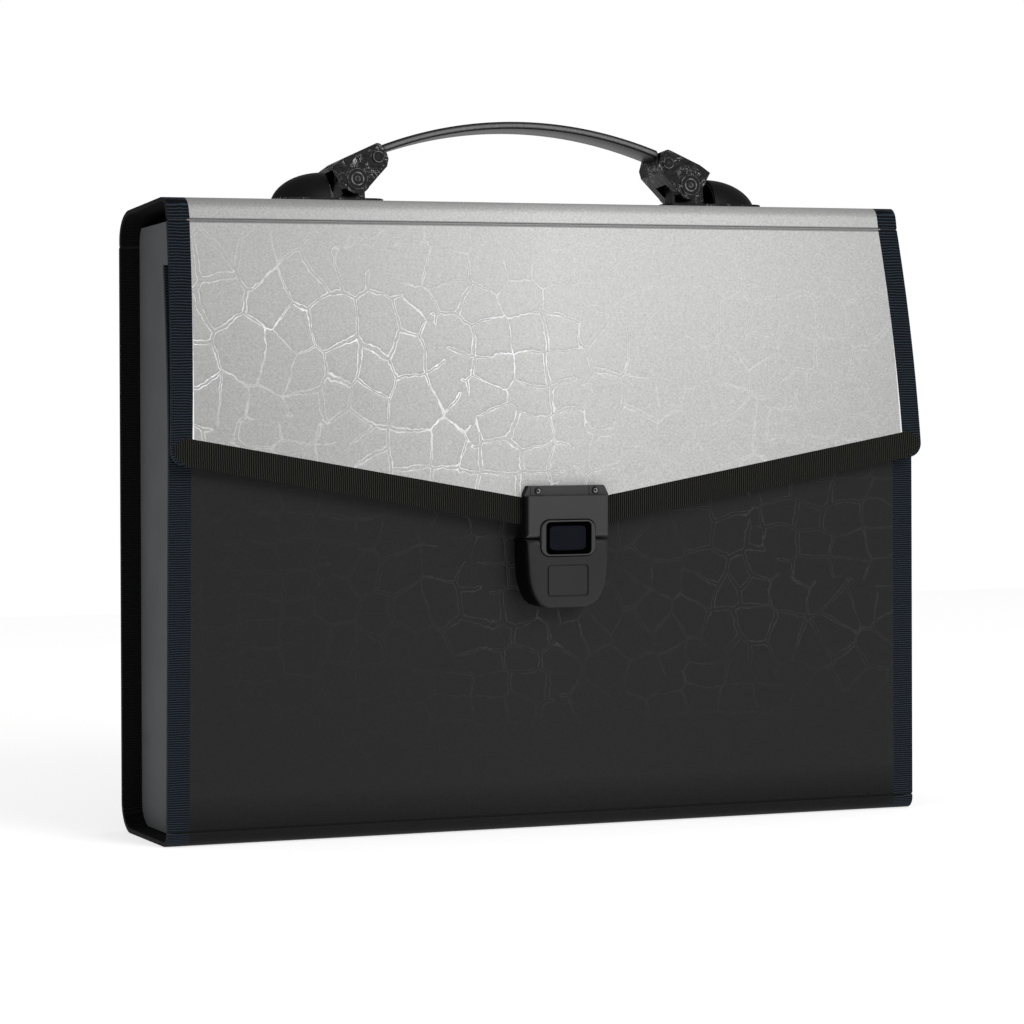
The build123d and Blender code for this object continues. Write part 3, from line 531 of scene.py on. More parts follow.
def plastic_material(
    name, colour, roughness, grain_scale, grain_depth, gloss=0.5, shaded=False
):
    """Moulded plastic with a fine spark-eroded grain and faint flow marks."""
    net = Net(name)
    coordinates = net.place()[0]
    grain = net.noise(coordinates, grain_scale, 3.0, 0.65)
    flow = net.noise(coordinates, 45.0, 3.0, 0.6)
    tone = net.mix(flow, opaque(colour, 0.82), opaque(colour, 1.18))
    sheen = net.math("MULTIPLY_ADD", flow, 0.12, roughness)
    if not shaded:
        return net.finish(tone, sheen, grain, grain_depth, 0.7, gloss)
    # Painted shade: faces turned to the left are darkened and lose reflection.
    leftward = net.math("MULTIPLY_ADD", net.facing(0), -0.5, 0.5)
    left = net.ramp(leftward, ((0.55, 1.0), (0.78, 0.12)), "LINEAR")
    tone = net.vector("SCALE", tone, scale=left)
    material = net.finish(tone, sheen, grain, grain_depth, 0.7, gloss)
    lit = net.math("MULTIPLY", left, gloss)
    net.tree.links.new(lit, net.shader.inputs["Specular IOR Level"])
    return material


def ringed_material(name, colour, light, origin, up, limit, stops, roughness):
    """Plastic or metal with turned rings round the same centre on both sides, whose ridges carry
    painted highlights.
    """
    net = Net(name)
    coordinates, across = net.place()[:2]
    side = net.math("SUBTRACT", net.math("ABSOLUTE", across), origin[0])
    rise = net.vector("DOT_PRODUCT", net.vector("SUBTRACT", coordinates, tuple(origin)), tuple(up))
    ring = net.ramp(net.math("DIVIDE", net.reach(side, rise), limit), stops, "LINEAR")
    highlight_breakup = net.ramp(net.noise(coordinates, 480.0, 2.0), ((0.36, 0.15), (0.58, 1.0)))
    # Painted highlights on the rings, broken up by noise.
    tone = net.mix(net.math("MULTIPLY", ring, highlight_breakup), opaque(colour), opaque(light))
    return net.finish(tone, roughness, ring, 0.0002, 0.8, 0.1)


def moulded_material(name, colour, roughness, scale, depth, light):
    """Black moulding with fine raised scrollwork whose crests carry painted highlights."""
    net = Net(name)
    coordinates = net.place()[0]
    warp = net.noise(coordinates, 150.0, output="Color")
    curled = net.vector("ADD", coordinates, net.vector("SCALE", warp, scale=SCROLL_CURL))
    scroll = net.math("ABSOLUTE", net.math("SUBTRACT", net.noise(curled, scale, 2.0), 0.5))
    crest = net.ramp(scroll, ((0.0, 1.0), (0.022, 0.0)))
    patches = net.ramp(net.noise(coordinates, 190.0, 2.0), ((0.46, 0.0), (0.58, 1.0)))
    crest = net.math("MULTIPLY", crest, patches)
    # Painted highlight: the crests are mixed towards light grey.
    tone = net.mix(net.math("MULTIPLY", crest, light), opaque(colour), (0.7, 0.7, 0.7, 1.0))
    relief = net.math("MULTIPLY_ADD", crest, 0.7, net.noise(coordinates, 420.0, 2.0))
    return net.finish(tone, roughness, relief, depth, 0.7, 0.12)


def strap_material(name, settings):
    """Black strap whose edge shows a painted highlight, a lighter rounded band between dark lines."""
    net = Net(name)
    coordinates, across = net.place()[:2]
    centre = HANDLE_ORIGIN + HANDLE_UP * (settings.strap_rise - settings.strap_radius)
    place = net.vector("SUBTRACT", coordinates, tuple(centre))
    radius = net.reach(across, net.vector("DOT_PRODUCT", place, tuple(HANDLE_UP)))
    low = settings.strap_radius - settings.strap_thickness / 2.0
    share = net.math("DIVIDE", net.math("SUBTRACT", radius, low), settings.strap_thickness)
    # Painted highlight along the middle of the strap's rounded edge.
    band = net.ramp(
        share, ((0.0, 0.0), (0.16, 0.05), (0.34, 1.0), (0.62, 0.8), (0.78, 0.0), (1.0, 0.1)), "LINEAR"
    )
    speck = net.noise(coordinates, 1200.0, 2.0, 0.7)
    tone = net.mix(
        net.math("MULTIPLY", band, net.math("ADD", speck, 0.3)),
        (0.004, 0.004, 0.004, 1.0),
        (0.230, 0.230, 0.230, 1.0),
    )
    relief = net.math("MULTIPLY_ADD", band, 1.0, net.math("MULTIPLY", speck, 0.2))
    return net.finish(tone, 0.34, relief, 0.0003, 0.8, 0.16)


def bezel_material(name, colour, half_width, half_height, centre):
    """Moulded plastic that falls into shadow inside the button's opening."""
    net = Net(name)
    coordinates, across, _, height = net.place()
    beyond = []
    for value, middle, half in ((across, 0.0, half_width), (height, centre, half_height)):
        away = net.math("ABSOLUTE", net.math("SUBTRACT", value, middle))
        beyond.append(net.math("MAXIMUM", net.math("SUBTRACT", away, half - BEZEL_ROUND), 0.0))
    share = net.math("DIVIDE", net.reach(*beyond), 2.0 * BEZEL_ROUND)
    lit = net.ramp(share, ((0.46, 0.0), (0.54, 1.0)), "LINEAR")
    grain = net.noise(coordinates, 1600.0, 3.0, 0.65)
    tone = net.mix(lit, (0.0008, 0.0008, 0.0010, 1.0), opaque(colour))
    material = net.finish(tone, 0.36, grain, 0.00004, 0.7)
    shaded = net.math("MULTIPLY", lit, 0.4)
    net.tree.links.new(shaded, net.shader.inputs["Specular IOR Level"])
    return material


def grid_material(name, colour, pitch):
    """Dark plastic with a fine raised grid for the fingertip."""
    net = Net(name)
    coordinates, across, _, height = net.place()
    waves = []
    for value in (across, height):
        turns = net.math("MULTIPLY", value, 2.0 * pi / pitch)
        waves.append(net.math("MULTIPLY_ADD", net.math("COSINE", turns), 0.5, 0.5))
    rib = net.math("MAXIMUM", net.math("POWER", waves[0], 4.0), net.math("POWER", waves[1], 4.0))
    tone = net.mix(net.math("MULTIPLY", rib, 0.6), opaque(colour), opaque(colour, 5.0))
    relief = net.math("MULTIPLY_ADD", net.noise(coordinates, 1500.0, 2.0), 0.15, rib)
    return net.finish(tone, 0.5, relief, 0.00012, 0.9, 0.12)


def metal_material(name, colour):
    """Dark plated steel with fine rubbed marks."""
    net = Net(name)
    coordinates = net.place()[0]
    stretched = net.add(
        "ShaderNodeMapping", {"Vector": coordinates, "Scale": (1.0, 6.0, 0.4)}
    ).outputs[0]
    marks = net.noise(stretched, 700.0, 3.0, 0.7)
    tone = net.mix(marks, opaque(colour, 0.75), opaque(colour, 1.2))
    net.shader.inputs["Metallic"].default_value = 1.0
    sheen = net.math("MULTIPLY_ADD", marks, 0.2, 0.28)
    return net.finish(tone, sheen, marks, 0.00004, 0.6)


def dress(nodes, material):
    """Give CAD nodes one material."""
    for name in nodes:
        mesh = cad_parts[name].data
        mesh.materials.clear()
        mesh.materials.append(bpy.data.materials[material])


class CaseFinishSettings(bpy.types.PropertyGroup):
    """Colours and textures of the case."""

    silver: bpy.props.FloatVectorProperty(
        name="Silver sheet",
        description="Colour of the lid and the flap",
        default=(0.50, 0.50, 0.495),
        subtype="COLOR",
        min=0.0,
        max=1.0,
    )
    black: bpy.props.FloatVectorProperty(
        name="Black sheet",
        description="Colour of the base, back and front",
        default=(0.0120, 0.0120, 0.0125),
        subtype="COLOR",
        min=0.0,
        max=1.0,
    )
    scale_size: bpy.props.FloatProperty(
        name="Scale size",
        description="Width of one embossed scale",
        default=0.0145,
        min=0.004,
        max=0.05,
        unit="LENGTH",
    )
    emboss_depth: bpy.props.FloatProperty(
        name="Emboss depth",
        description="Height of the embossed lines",
        default=0.0003,
        min=0.0,
        max=0.002,
        unit="LENGTH",
    )
    sheet_roughness: bpy.props.FloatProperty(
        name="Sheet roughness",
        description="Roughness of the leatherette",
        default=0.42,
        min=0.0,
        max=1.0,
        subtype="FACTOR",
    )
    rib_pitch: bpy.props.FloatProperty(
        name="Rib pitch",
        description="Distance between the ribs of the tape",
        default=0.00090,
        min=0.0004,
        max=0.004,
        unit="LENGTH",
    )


class CaseShapeSettings(bpy.types.PropertyGroup):
    """Sizes of the modelled pieces."""

    pleats: bpy.props.IntProperty(
        name="Pleats",
        description="Pleats in each gusset, one to a pocket",
        default=13,
        min=3,
        max=30,
    )
    pleat_groove: bpy.props.FloatProperty(
        name="Pleat groove",
        description="Depth of the fold between two closed pleats",
        default=0.0001,
        min=0.0,
        max=0.004,
        unit="LENGTH",
    )
    gusset_recess: bpy.props.FloatProperty(
        name="Gusset recess",
        description="Distance of the gusset inside the sheet's edge",
        default=0.008,
        min=0.002,
        max=0.03,
        unit="LENGTH",
    )
    cap_fullness: bpy.props.FloatProperty(
        name="Cap fullness",
        description="Half width of the egg shape that the cap is cut from",
        default=0.0102,
        min=0.0101,
        max=0.03,
        unit="LENGTH",
    )
    strap_width: bpy.props.FloatProperty(
        name="Strap width",
        description="Width of the handle's strap",
        default=0.017,
        min=0.008,
        max=0.03,
        unit="LENGTH",
    )
    strap_thickness: bpy.props.FloatProperty(
        name="Strap thickness",
        description="Thickness of the handle's strap",
        default=0.003,
        min=0.001,
        max=0.008,
        unit="LENGTH",
    )
    strap_radius: bpy.props.FloatProperty(
        name="Strap radius",
        description="Radius of the strap's arch",
        default=0.1785,
        min=0.08,
        max=0.5,
        unit="LENGTH",
    )
    strap_rise: bpy.props.FloatProperty(
        name="Strap rise",
        description="Height of the arch's crown over the lid",
        default=0.0348,
        min=0.01,
        max=0.08,
        unit="LENGTH",
    )


class CaseStageSettings(bpy.types.PropertyGroup):
    """Camera, lights and floor."""

    camera_place: bpy.props.FloatVectorProperty(
        name="Camera place",
        description="Location of the camera",
        default=(-0.6004, -1.4032, 0.1948),
        subtype="TRANSLATION",
        unit="LENGTH",
    )
    camera_yaw: bpy.props.FloatProperty(
        name="Camera yaw",
        description="Turn of the camera about the vertical",
        default=radians(-22.9416),
        subtype="ANGLE",
        unit="ROTATION",
    )
    camera_pitch: bpy.props.FloatProperty(
        name="Camera pitch",
        description="Downward tilt of the camera",
        default=radians(2.542),
        subtype="ANGLE",
        unit="ROTATION",
    )
    lens: bpy.props.FloatProperty(
        name="Lens",
        description="Focal length in millimetres on a 36 mm sensor",
        default=130.14,
        min=10.0,
        max=300.0,
    )
    ambient: bpy.props.FloatProperty(
        name="Ambient light",
        description="Strength of the even light from all round",
        default=0.36,
        min=0.0,
        max=3.0,
    )
    key_power: bpy.props.FloatProperty(
        name="Key power",
        description="Power of the soft main light",
        default=20.0,
        min=0.0,
        max=500.0,
    )
    fill_power: bpy.props.FloatProperty(
        name="Fill power",
        description="Power of the soft light from the left",
        default=5.0,
        min=0.0,
        max=500.0,
    )
    floor_size: bpy.props.FloatProperty(
        name="Floor size",
        description="Width of the square floor",
        default=2.4,
        min=0.5,
        max=20.0,
        unit="LENGTH",
    )
    floor_glow: bpy.props.FloatProperty(
        name="Floor glow",
        description="Strength of the floor's own light, which keeps it white",
        default=0.56,
        min=0.0,
        max=2.0,
    )


class FILECASE_OT_materials(bpy.types.Operator):
    """Make the materials of the case"""

    bl_idname = "filecase.materials"
    bl_label = "Make materials"

    def execute(self, context):
        settings = context.scene.filecase_finish
        embossed_material(
            "silver_embossed",
            settings,
            tuple(settings.silver),
            line_colour=(0.95, 0.95, 0.95),
            line_share=0.9,
            grain_share=0.18,
            gloss=0.4,
            side_stops=((0.0, 0.8), (0.05, 1.0), (0.42, 1.0), (0.62, 0.35), (1.0, 0.2)),
            height_stops=((0.5, 1.0), (0.78, 1.0), (0.92, 0.3), (0.985, 0.0)),
            # Painted sheen across the silver sheets, brightest a little right of the middle
            painted_light_stops=(
                (0.0, 0.74),
                (0.2, 0.84),
                (0.5, 1.10),
                (0.75, 1.02),
                (0.95, 0.88),
                (1.0, 0.86),
            ),
            metal=0.25,
            silver_sheet=True,
        )
        embossed_material(
            "black_embossed",
            settings,
            tuple(settings.black),
            line_colour=(0.075, 0.074, 0.073),
            line_share=0.42,
            grain_share=0.2,
            gloss=0.2,
            side_stops=((0.0, 0.05), (0.25, 0.15), (0.45, 0.9), (0.75, 0.8), (1.0, 0.3)),
            height_stops=((0.16, 0.0), (0.30, 1.0), (0.60, 1.0)),
            # Painted sheen across the black sheets, brightest in the middle
            painted_light_stops=((0.0, 0.8), (0.5, 1.0), (1.0, 0.8)),
        )
        # Each pair is a tape's dark colour and the painted highlight on its rib crests.
        navy = ((0.001, 0.0015, 0.003), (0.029, 0.043, 0.060))
        edging = ((0.0005, 0.0005, 0.0005), (0.036, 0.036, 0.029))
        shadow = ((0.001, 0.001, 0.001), (0.010, 0.010, 0.011))
        ribbed_material("side_tape", settings, "along", *navy)
        ribbed_material("flap_side_tape", settings, "along", *navy, over=("edge", *edging))
        ribbed_material("back_tape", settings, "along", *shadow, over=("front", *navy))
        ribbed_material("edge_tape", settings, "across", *edging)
        plastic_material("grained_gusset", (0.083, 0.085, 0.088), 0.6, 900.0, 0.00002, gloss=0.1)
        plastic_material("grained_divider", (0.085, 0.085, 0.088), 0.5, 1100.0, 0.00005)
        plastic_material("satin_black", (0.005, 0.005, 0.005), 0.36, 700.0, 0.00006, gloss=0.13)
        moulded_material("scrolled_plastic", (0.002, 0.002, 0.002), 0.34, 330.0, 0.0003, 0.8)
        strap_material("strap_plastic", context.scene.filecase_shape)
        plastic_material(
            "grained_lock", (0.030, 0.030, 0.031), 0.36, 1600.0, 0.00004, gloss=0.4, shaded=True
        )
        # A darker, duller copy of the lock's plastic for the lower half and its label: painted shade.
        plastic_material(
            "lock_low_plastic", (0.018, 0.018, 0.0185), 0.4, 1600.0, 0.00004, gloss=0.25, shaded=True
        )
        bezel_material("bezel_plastic", (0.034, 0.034, 0.035), 0.0100, 0.0066, BEZEL_CENTRE)
        grid_material("button_grid", (0.0012, 0.0015, 0.004), 0.0006)
        metal_material("plated_metal", (0.22, 0.22, 0.23))
        ringed_material(
            "pin_rings",
            (0.002, 0.002, 0.002),
            (0.40, 0.40, 0.40),
            HANDLE_ORIGIN + HANDLE_UP * PIN_HEIGHT + Vector((PIN_X, 0.0, 0.0)),
            HANDLE_UP,
            0.0045,
            stops=(
                (0.0, 0.2),
                (0.10, 0.0),
                (0.22, 0.5),
                (0.30, 0.0),
                (0.48, 0.0),
                (0.56, 1.0),
                (0.64, 0.0),
                (0.88, 0.0),
                (0.95, 0.7),
            ),
            roughness=0.3,
        )
        ringed_material(
            "strap_rivet_rings",
            (0.002, 0.002, 0.002),
            (0.40, 0.40, 0.40),
            HANDLE_ORIGIN + HANDLE_UP * (PIN_HEIGHT + RIVET_RISE) + Vector((RIVET_X, 0.0, 0.0)),
            HANDLE_UP,
            0.003,
            stops=((0.0, 0.1), (0.3, 0.02), (0.66, 0.0), (0.74, 0.7), (0.82, 0.0)),
            roughness=0.35,
        )
        ringed_material(
            "clasp_rivet_rings",
            (0.002, 0.002, 0.002),
            (0.42, 0.42, 0.42),
            Vector((CLASP_RIVET_X, LEDGE_FACE, CLASP_RIVET_HEIGHT)),
            Vector((0.0, 0.0, 1.0)),
            0.002,
            stops=((0.0, 0.0), (0.18, 0.0), (0.34, 0.9), (0.44, 0.5), (0.52, 0.0), (0.82, 0.15)),
            roughness=0.4,
        )
        return {"FINISHED"}


class FILECASE_OT_sheets(bpy.types.Operator):
    """Finish the embossed sheets and their ribbed tapes"""

    bl_idname = "filecase.sheets"
    bl_label = "Finish sheets and tapes"

    def execute(self, context):
        dress(("lid_panel", "flap_panel"), "silver_embossed")
        dress(("back_panel", "front_panel"), "black_embossed")
        for panel, material in TAPED.items():
            dress([f"{panel}_tape_{side}" for side in SIDES], material)
        dress(("flap_edge_tape", "hinge_strip"), "edge_tape")
        return {"FINISHED"}


class FILECASE_OT_creases(bpy.types.Operator):
    """Build the thin webs that join the sheets inside their creases"""

    bl_idname = "filecase.creases"
    bl_label = "Build creases"

    def execute(self, context):
        black, silver = "black_embossed", "silver_embossed"
        creases = (
            ("front_crease_web", FRONT_CREASE, 1.0, HALF_WIDTH, 0.0008, "back", "front", black),
            ("back_crease_web", BACK_CREASE, 1.0, HALF_WIDTH, 0.0014, "back", "lid", black),
            ("flap_crease_web", FLAP_CREASE, -1.0, FOLD_HALF_WIDTH, 0.0014, "lid", "flap", silver),
        )
        for name, (depth, height), up, half, thick, first, second, material in creases:
            web = flat_sheet((0.0, depth, height), (2.0 * half - END_GAP, thick))
            draw_out(web, WEB_ROWS * [(0.0, 0.0, up * CREASE_STEP / WEB_ROWS)])
            settle(web, name, material)
            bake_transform(web)
        return {"FINISHED"}


def front_inner(height):
    """Depth of the front panel's inner face at a height."""
    if height <= FRONT_FLAT_TOP:
        return INNER_FRONT
    full = FRONT_TOP - FRONT_FLAT_TOP
    radius = (full**2 + FRONT_SETBACK**2) / (2.0 * FRONT_SETBACK)
    rise = min(height, FRONT_TOP) - FRONT_FLAT_TOP
    extra = max(0.0, height - FRONT_TOP) * 0.22
    return INNER_FRONT + radius - (radius**2 - rise**2) ** 0.5 + extra


class FILECASE_OT_gussets(bpy.types.Operator):
    """Build the two closed, pleated gussets"""

    bl_idname = "filecase.gussets"
    bl_label = "Build gussets"

    def execute(self, context):
        settings = context.scene.filecase_shape
        columns = settings.pleats * PLEAT_COLUMNS
        low = SHEET + 0.0005
        front, back = INNER_FRONT + END_GAP, INNER_BACK - END_GAP
        for side_name, side in SIDES.items():
            place = side * (HALF_WIDTH - settings.gusset_recess)
            deselect()
            bpy.ops.mesh.primitive_grid_add(
                x_subdivisions=GUSSET_ROWS,
                y_subdivisions=columns,
                size=1.0,
                location=(place, (front + back) / 2.0, (low + GUSSET_TOP) / 2.0),
                rotation=(0.0, radians(90.0), 0.0),
            )
            gusset = bpy.context.object
            gusset.scale = (GUSSET_TOP - low, back - front, 1.0)
            bpy.ops.object.transform_apply(location=True, rotation=True, scale=True)
            pitch = (back - front) / columns
            edit(gusset)
            pick(
                gusset,
                lambda v: round((v.co.y - front) / pitch) % PLEAT_COLUMNS == 0
                and front + pitch < v.co.y < back - pitch,
            )
            bpy.ops.transform.translate(value=(-side * settings.pleat_groove, 0.0, 0.0))
            heights = sorted({round(v.co.z, 5) for v in gusset.data.vertices})
            for height in heights:
                if height <= FRONT_FLAT_TOP:
                    continue
                share = (back - front_inner(height) - END_GAP) / (back - front)
                pick(gusset, lambda v: abs(v.co.z - height) < 1e-5)
                bpy.ops.transform.resize(
                    value=(1.0, share, 1.0), center_override=(0.0, back, 0.0)
                )
            slope = radians(TOP_SLOPE)
            bpy.ops.mesh.select_all(action="SELECT")
            bpy.ops.mesh.bisect(
                plane_co=(0.0, TOP_DEPTH, GUSSET_TOP),
                plane_no=(0.0, sin(slope), cos(slope)),
                clear_outer=True,
                use_fill=False,
            )
            bend_inner = BACK_BEND - SHEET - END_GAP
            bends = ((BACK_BEND, -1.0), (LID_BEND_HEIGHT, 1.0))
            for bend_height, up in bends:
                for turn in (15.0, 37.0, 60.0, 80.0):
                    normal = Vector((0.0, sin(radians(turn)), up * cos(radians(turn))))
                    centre = Vector((0.0, BACK_FACE - BACK_BEND, bend_height))
                    bpy.ops.mesh.select_all(action="SELECT")
                    bpy.ops.mesh.bisect(
                        plane_co=centre + normal * bend_inner,
                        plane_no=normal,
                        clear_outer=True,
                        use_fill=False,
                    )
            bpy.ops.object.mode_set(mode="OBJECT")
            apply_modifier(gusset, "SOLIDIFY", thickness=GUSSET_SHEET, offset=-float(side))
            outward_faces(gusset)
            bpy.ops.object.shade_smooth_by_angle(angle=radians(25.0))
            settle(gusset, f"pleated_{side_name}", "grained_gusset")
            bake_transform(gusset)
            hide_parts(f"gusset_{side_name}")
        return {"FINISHED"}


class FILECASE_OT_dividers(bpy.types.Operator):
    """Finish the dividers and their index tabs"""

    bl_idname = "filecase.dividers"
    bl_label = "Finish dividers"

    def execute(self, context):
        dress([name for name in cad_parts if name.startswith("divider_")], "grained_divider")
        return {"FINISHED"}


class FILECASE_OT_strap(bpy.types.Operator):
    """Build the arched strap as one piece"""

    bl_idname = "filecase.strap"
    bl_label = "Build strap"

    def execute(self, context):
        settings = context.scene.filecase_shape
        radius = settings.strap_radius
        half_angle = asin(STRAP_REACH / radius)
        centre = HANDLE_ORIGIN + HANDLE_UP * (settings.strap_rise - radius)
        radial = HANDLE_UP * cos(half_angle) - Vector((1.0, 0.0, 0.0)) * sin(half_angle)
        tangent = HANDLE_ACROSS.cross(radial)
        turn = Matrix((radial, HANDLE_ACROSS, tangent)).transposed()
        strap = flat_sheet(
            centre + radial * radius,
            (settings.strap_thickness, settings.strap_width),
            turn.to_euler(),
        )
        edit(strap, "FACE")
        bpy.ops.mesh.select_all(action="SELECT")
        bpy.ops.mesh.spin(
            steps=STRAP_STEPS,
            angle=-2.0 * half_angle,
            center=tuple(centre),
            axis=tuple(HANDLE_ACROSS),
        )
        outward_faces(strap)
        apply_modifier(strap, "BEVEL", width=0.0007, segments=3, limit_method="ANGLE")
        bpy.ops.object.shade_smooth_by_angle(angle=radians(35.0))
        settle(strap, "handle_strap", "strap_plastic")
        box_low = min(v.co.x for v in strap.data.vertices)
        box_high = max(v.co.x for v in strap.data.vertices)
        if abs(box_low + box_high) > 1e-4:
            raise RuntimeError(f"The strap is off centre, from {box_low} to {box_high}")
        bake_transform(strap)
        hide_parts("handle_strap_left", "handle_strap_right")
        return {"FINISHED"}


class FILECASE_OT_caps(bpy.types.Operator):
    """Build the domed caps at the handle's ends, with rounded plans"""

    bl_idname = "filecase.caps"
    bl_label = "Build caps"

    def execute(self, context):
        settings = context.scene.filecase_shape
        turn = Matrix((Vector((1.0, 0.0, 0.0)), HANDLE_ACROSS, HANDLE_UP)).transposed()
        for side_name, side in SIDES.items():
            inner = HANDLE_ORIGIN + Vector((side * CAP_INNER, 0.0, 0.0))
            deselect()
            bpy.ops.mesh.primitive_uv_sphere_add(
                segments=64, ring_count=40, radius=1.0, location=inner, rotation=turn.to_euler()
            )
            cap = bpy.context.object
            cap.scale = (CAP_LENGTH, settings.cap_fullness, CAP_HEIGHT)
            bpy.ops.object.transform_apply(location=True, rotation=True, scale=True)
            cuts = (
                (inner, Vector((-side, 0.0, 0.0))),
                (inner + HANDLE_ACROSS * CAP_HALF, HANDLE_ACROSS),
                (inner - HANDLE_ACROSS * CAP_HALF, -HANDLE_ACROSS),
                (HANDLE_ORIGIN, -HANDLE_UP),
            )
            for point, normal in cuts:
                edit(cap)
                bpy.ops.mesh.select_all(action="SELECT")
                bpy.ops.mesh.bisect(
                    plane_co=point, plane_no=normal, clear_outer=True, use_fill=True
                )
            outward_faces(cap)
            edit(cap, "FACE")
            pick(
                cap,
                lambda f: f.normal.x * side < -0.99 and f.area > 0.00005,
                "polygons",
            )
            bpy.ops.mesh.inset(thickness=CAP_WALL)
            hollow = Vector((side * CAP_HOLLOW, 0.0, 0.0))
            bpy.ops.mesh.extrude_region_move(TRANSFORM_OT_translate={"value": tuple(hollow)})
            bpy.ops.transform.resize(
                value=(1.0, 0.9, 0.55),
                center_override=tuple(inner + hollow + HANDLE_UP * CAP_LIFT),
            )
            outward_faces(cap)
            apply_modifier(
                cap,
                "BEVEL",
                width=CAP_ROUND,
                segments=3,
                limit_method="ANGLE",
                angle_limit=radians(30.0),
            )
            bpy.ops.object.shade_smooth_by_angle(angle=radians(40.0))
            settle(cap, f"domed_cap_{side_name}", "satin_black")
            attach(cap, "lid")
            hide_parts(f"bracket_cap_{side_name}")
        return {"FINISHED"}


class FILECASE_OT_handle(bpy.types.Operator):
    """Finish the brackets, arms, pins and rivets of the handle"""

    bl_idname = "filecase.handle"
    bl_label = "Finish handle"

    def execute(self, context):
        for side in SIDES:
            dress((f"handle_bracket_{side}", f"handle_arm_{side}"), "scrolled_plastic")
            dress((f"handle_pin_{side}",), "pin_rings")
            dress((f"strap_rivet_{side}",), "strap_rivet_rings")
        dress(("bracket_rivets", "handle_backing_plates"), "plated_metal")
        return {"FINISHED"}


def rounded_block(centre, size, corner):
    """Block whose four edges along the depth are rounded."""
    deselect()
    bpy.ops.mesh.primitive_cube_add(size=1.0, location=centre)
    block = bpy.context.object
    block.scale = size
    bpy.ops.object.transform_apply(location=True, rotation=True, scale=True)
    edit(block, "EDGE")
    if corner:
        places = [v.co.copy() for v in block.data.vertices]
        pick(
            block,
            lambda e: abs(places[e.vertices[0]].y - places[e.vertices[1]].y) > 1e-6,
            "edges",
        )
        bpy.ops.mesh.bevel(offset=corner, offset_pct=0, segments=6)
    bpy.ops.object.mode_set(mode="OBJECT")
    return block


def cut(piece, centre, size, corner):
    """Cut a rounded block out of a piece."""
    block = rounded_block(centre, size, corner)
    apply_modifier(piece, "BOOLEAN", object=block, operation="DIFFERENCE", solver="EXACT")
    bpy.data.objects.remove(block, do_unlink=True)


def lock_shell():
    """Hollow lower half of the lock, open at the back, at its bezel and at its plate."""
    top, wide = LOCK_ROWS[0]
    bottom = LOCK_ROWS[-1][0]
    shell = flat_sheet((0.0, LOCK_BACK, (top + bottom) / 2.0), (2.0 * wide, top - bottom), UPRIGHT)
    edit(shell)
    for height, _ in LOCK_ROWS[1:-1]:
        bpy.ops.mesh.select_all(action="SELECT")
        bpy.ops.mesh.bisect(plane_co=(0.0, 0.0, height), plane_no=(0.0, 0.0, 1.0))
    for height, half in LOCK_ROWS[1:]:
        pick(shell, lambda v: abs(v.co.z - height) < 1e-5)
        bpy.ops.transform.resize(value=(half / wide, 1.0, 1.0), center_override=(0.0, 0.0, height))
    bpy.ops.mesh.select_all(action="SELECT")
    bpy.ops.mesh.dissolve_limited(angle_limit=radians(1.0))
    bpy.ops.mesh.select_all(action="SELECT")
    straight = LOCK_BACK - LOCK_FACE - LOCK_RIM
    bpy.ops.mesh.extrude_region_move(TRANSFORM_OT_translate={"value": (0.0, -straight, 0.0)})
    for start, end in ((0.0, 30.0), (30.0, 60.0), (60.0, 90.0)):
        bpy.ops.mesh.inset(
            thickness=LOCK_RIM * (cos(radians(start)) - cos(radians(end))),
            depth=LOCK_RIM * (sin(radians(end)) - sin(radians(start))),
        )
    outward_faces(shell)
    edit(shell, "FACE")
    pick(shell, lambda f: f.normal.y > 0.99, "polygons")
    bpy.ops.mesh.delete(type="FACE")
    bpy.ops.object.mode_set(mode="OBJECT")
    apply_modifier(shell, "SOLIDIFY", thickness=LOCK_WALL, offset=-1.0, use_even_offset=True)
    outward_faces(shell)
    for centre, size, corner in LOCK_CUTS.values():
        cut(shell, centre, size, corner)
    outward_faces(shell)
    bpy.ops.object.shade_smooth_by_angle(angle=radians(33.0))
    settle(shell, "lock_shell", "lock_low_plastic")
    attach(shell, "front")
    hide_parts("lock_cover")


def wave_spring():
    """Flat wave spring under the latch bar."""
    low, high, reach, waves = 0.09615, 0.10385, 0.0022, 6
    spring = flat_sheet((-reach, SPRING_DEPTH, low), SPRING_STRIP)
    rise = (high - low) / waves
    draw_out(spring, [(reach * (2.0, -2.0)[step % 2], 0.0, rise) for step in range(waves)])
    settle(spring, "wave_spring", "plated_metal")
    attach(spring, "front")
    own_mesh(spring)
    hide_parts("latch_spring")


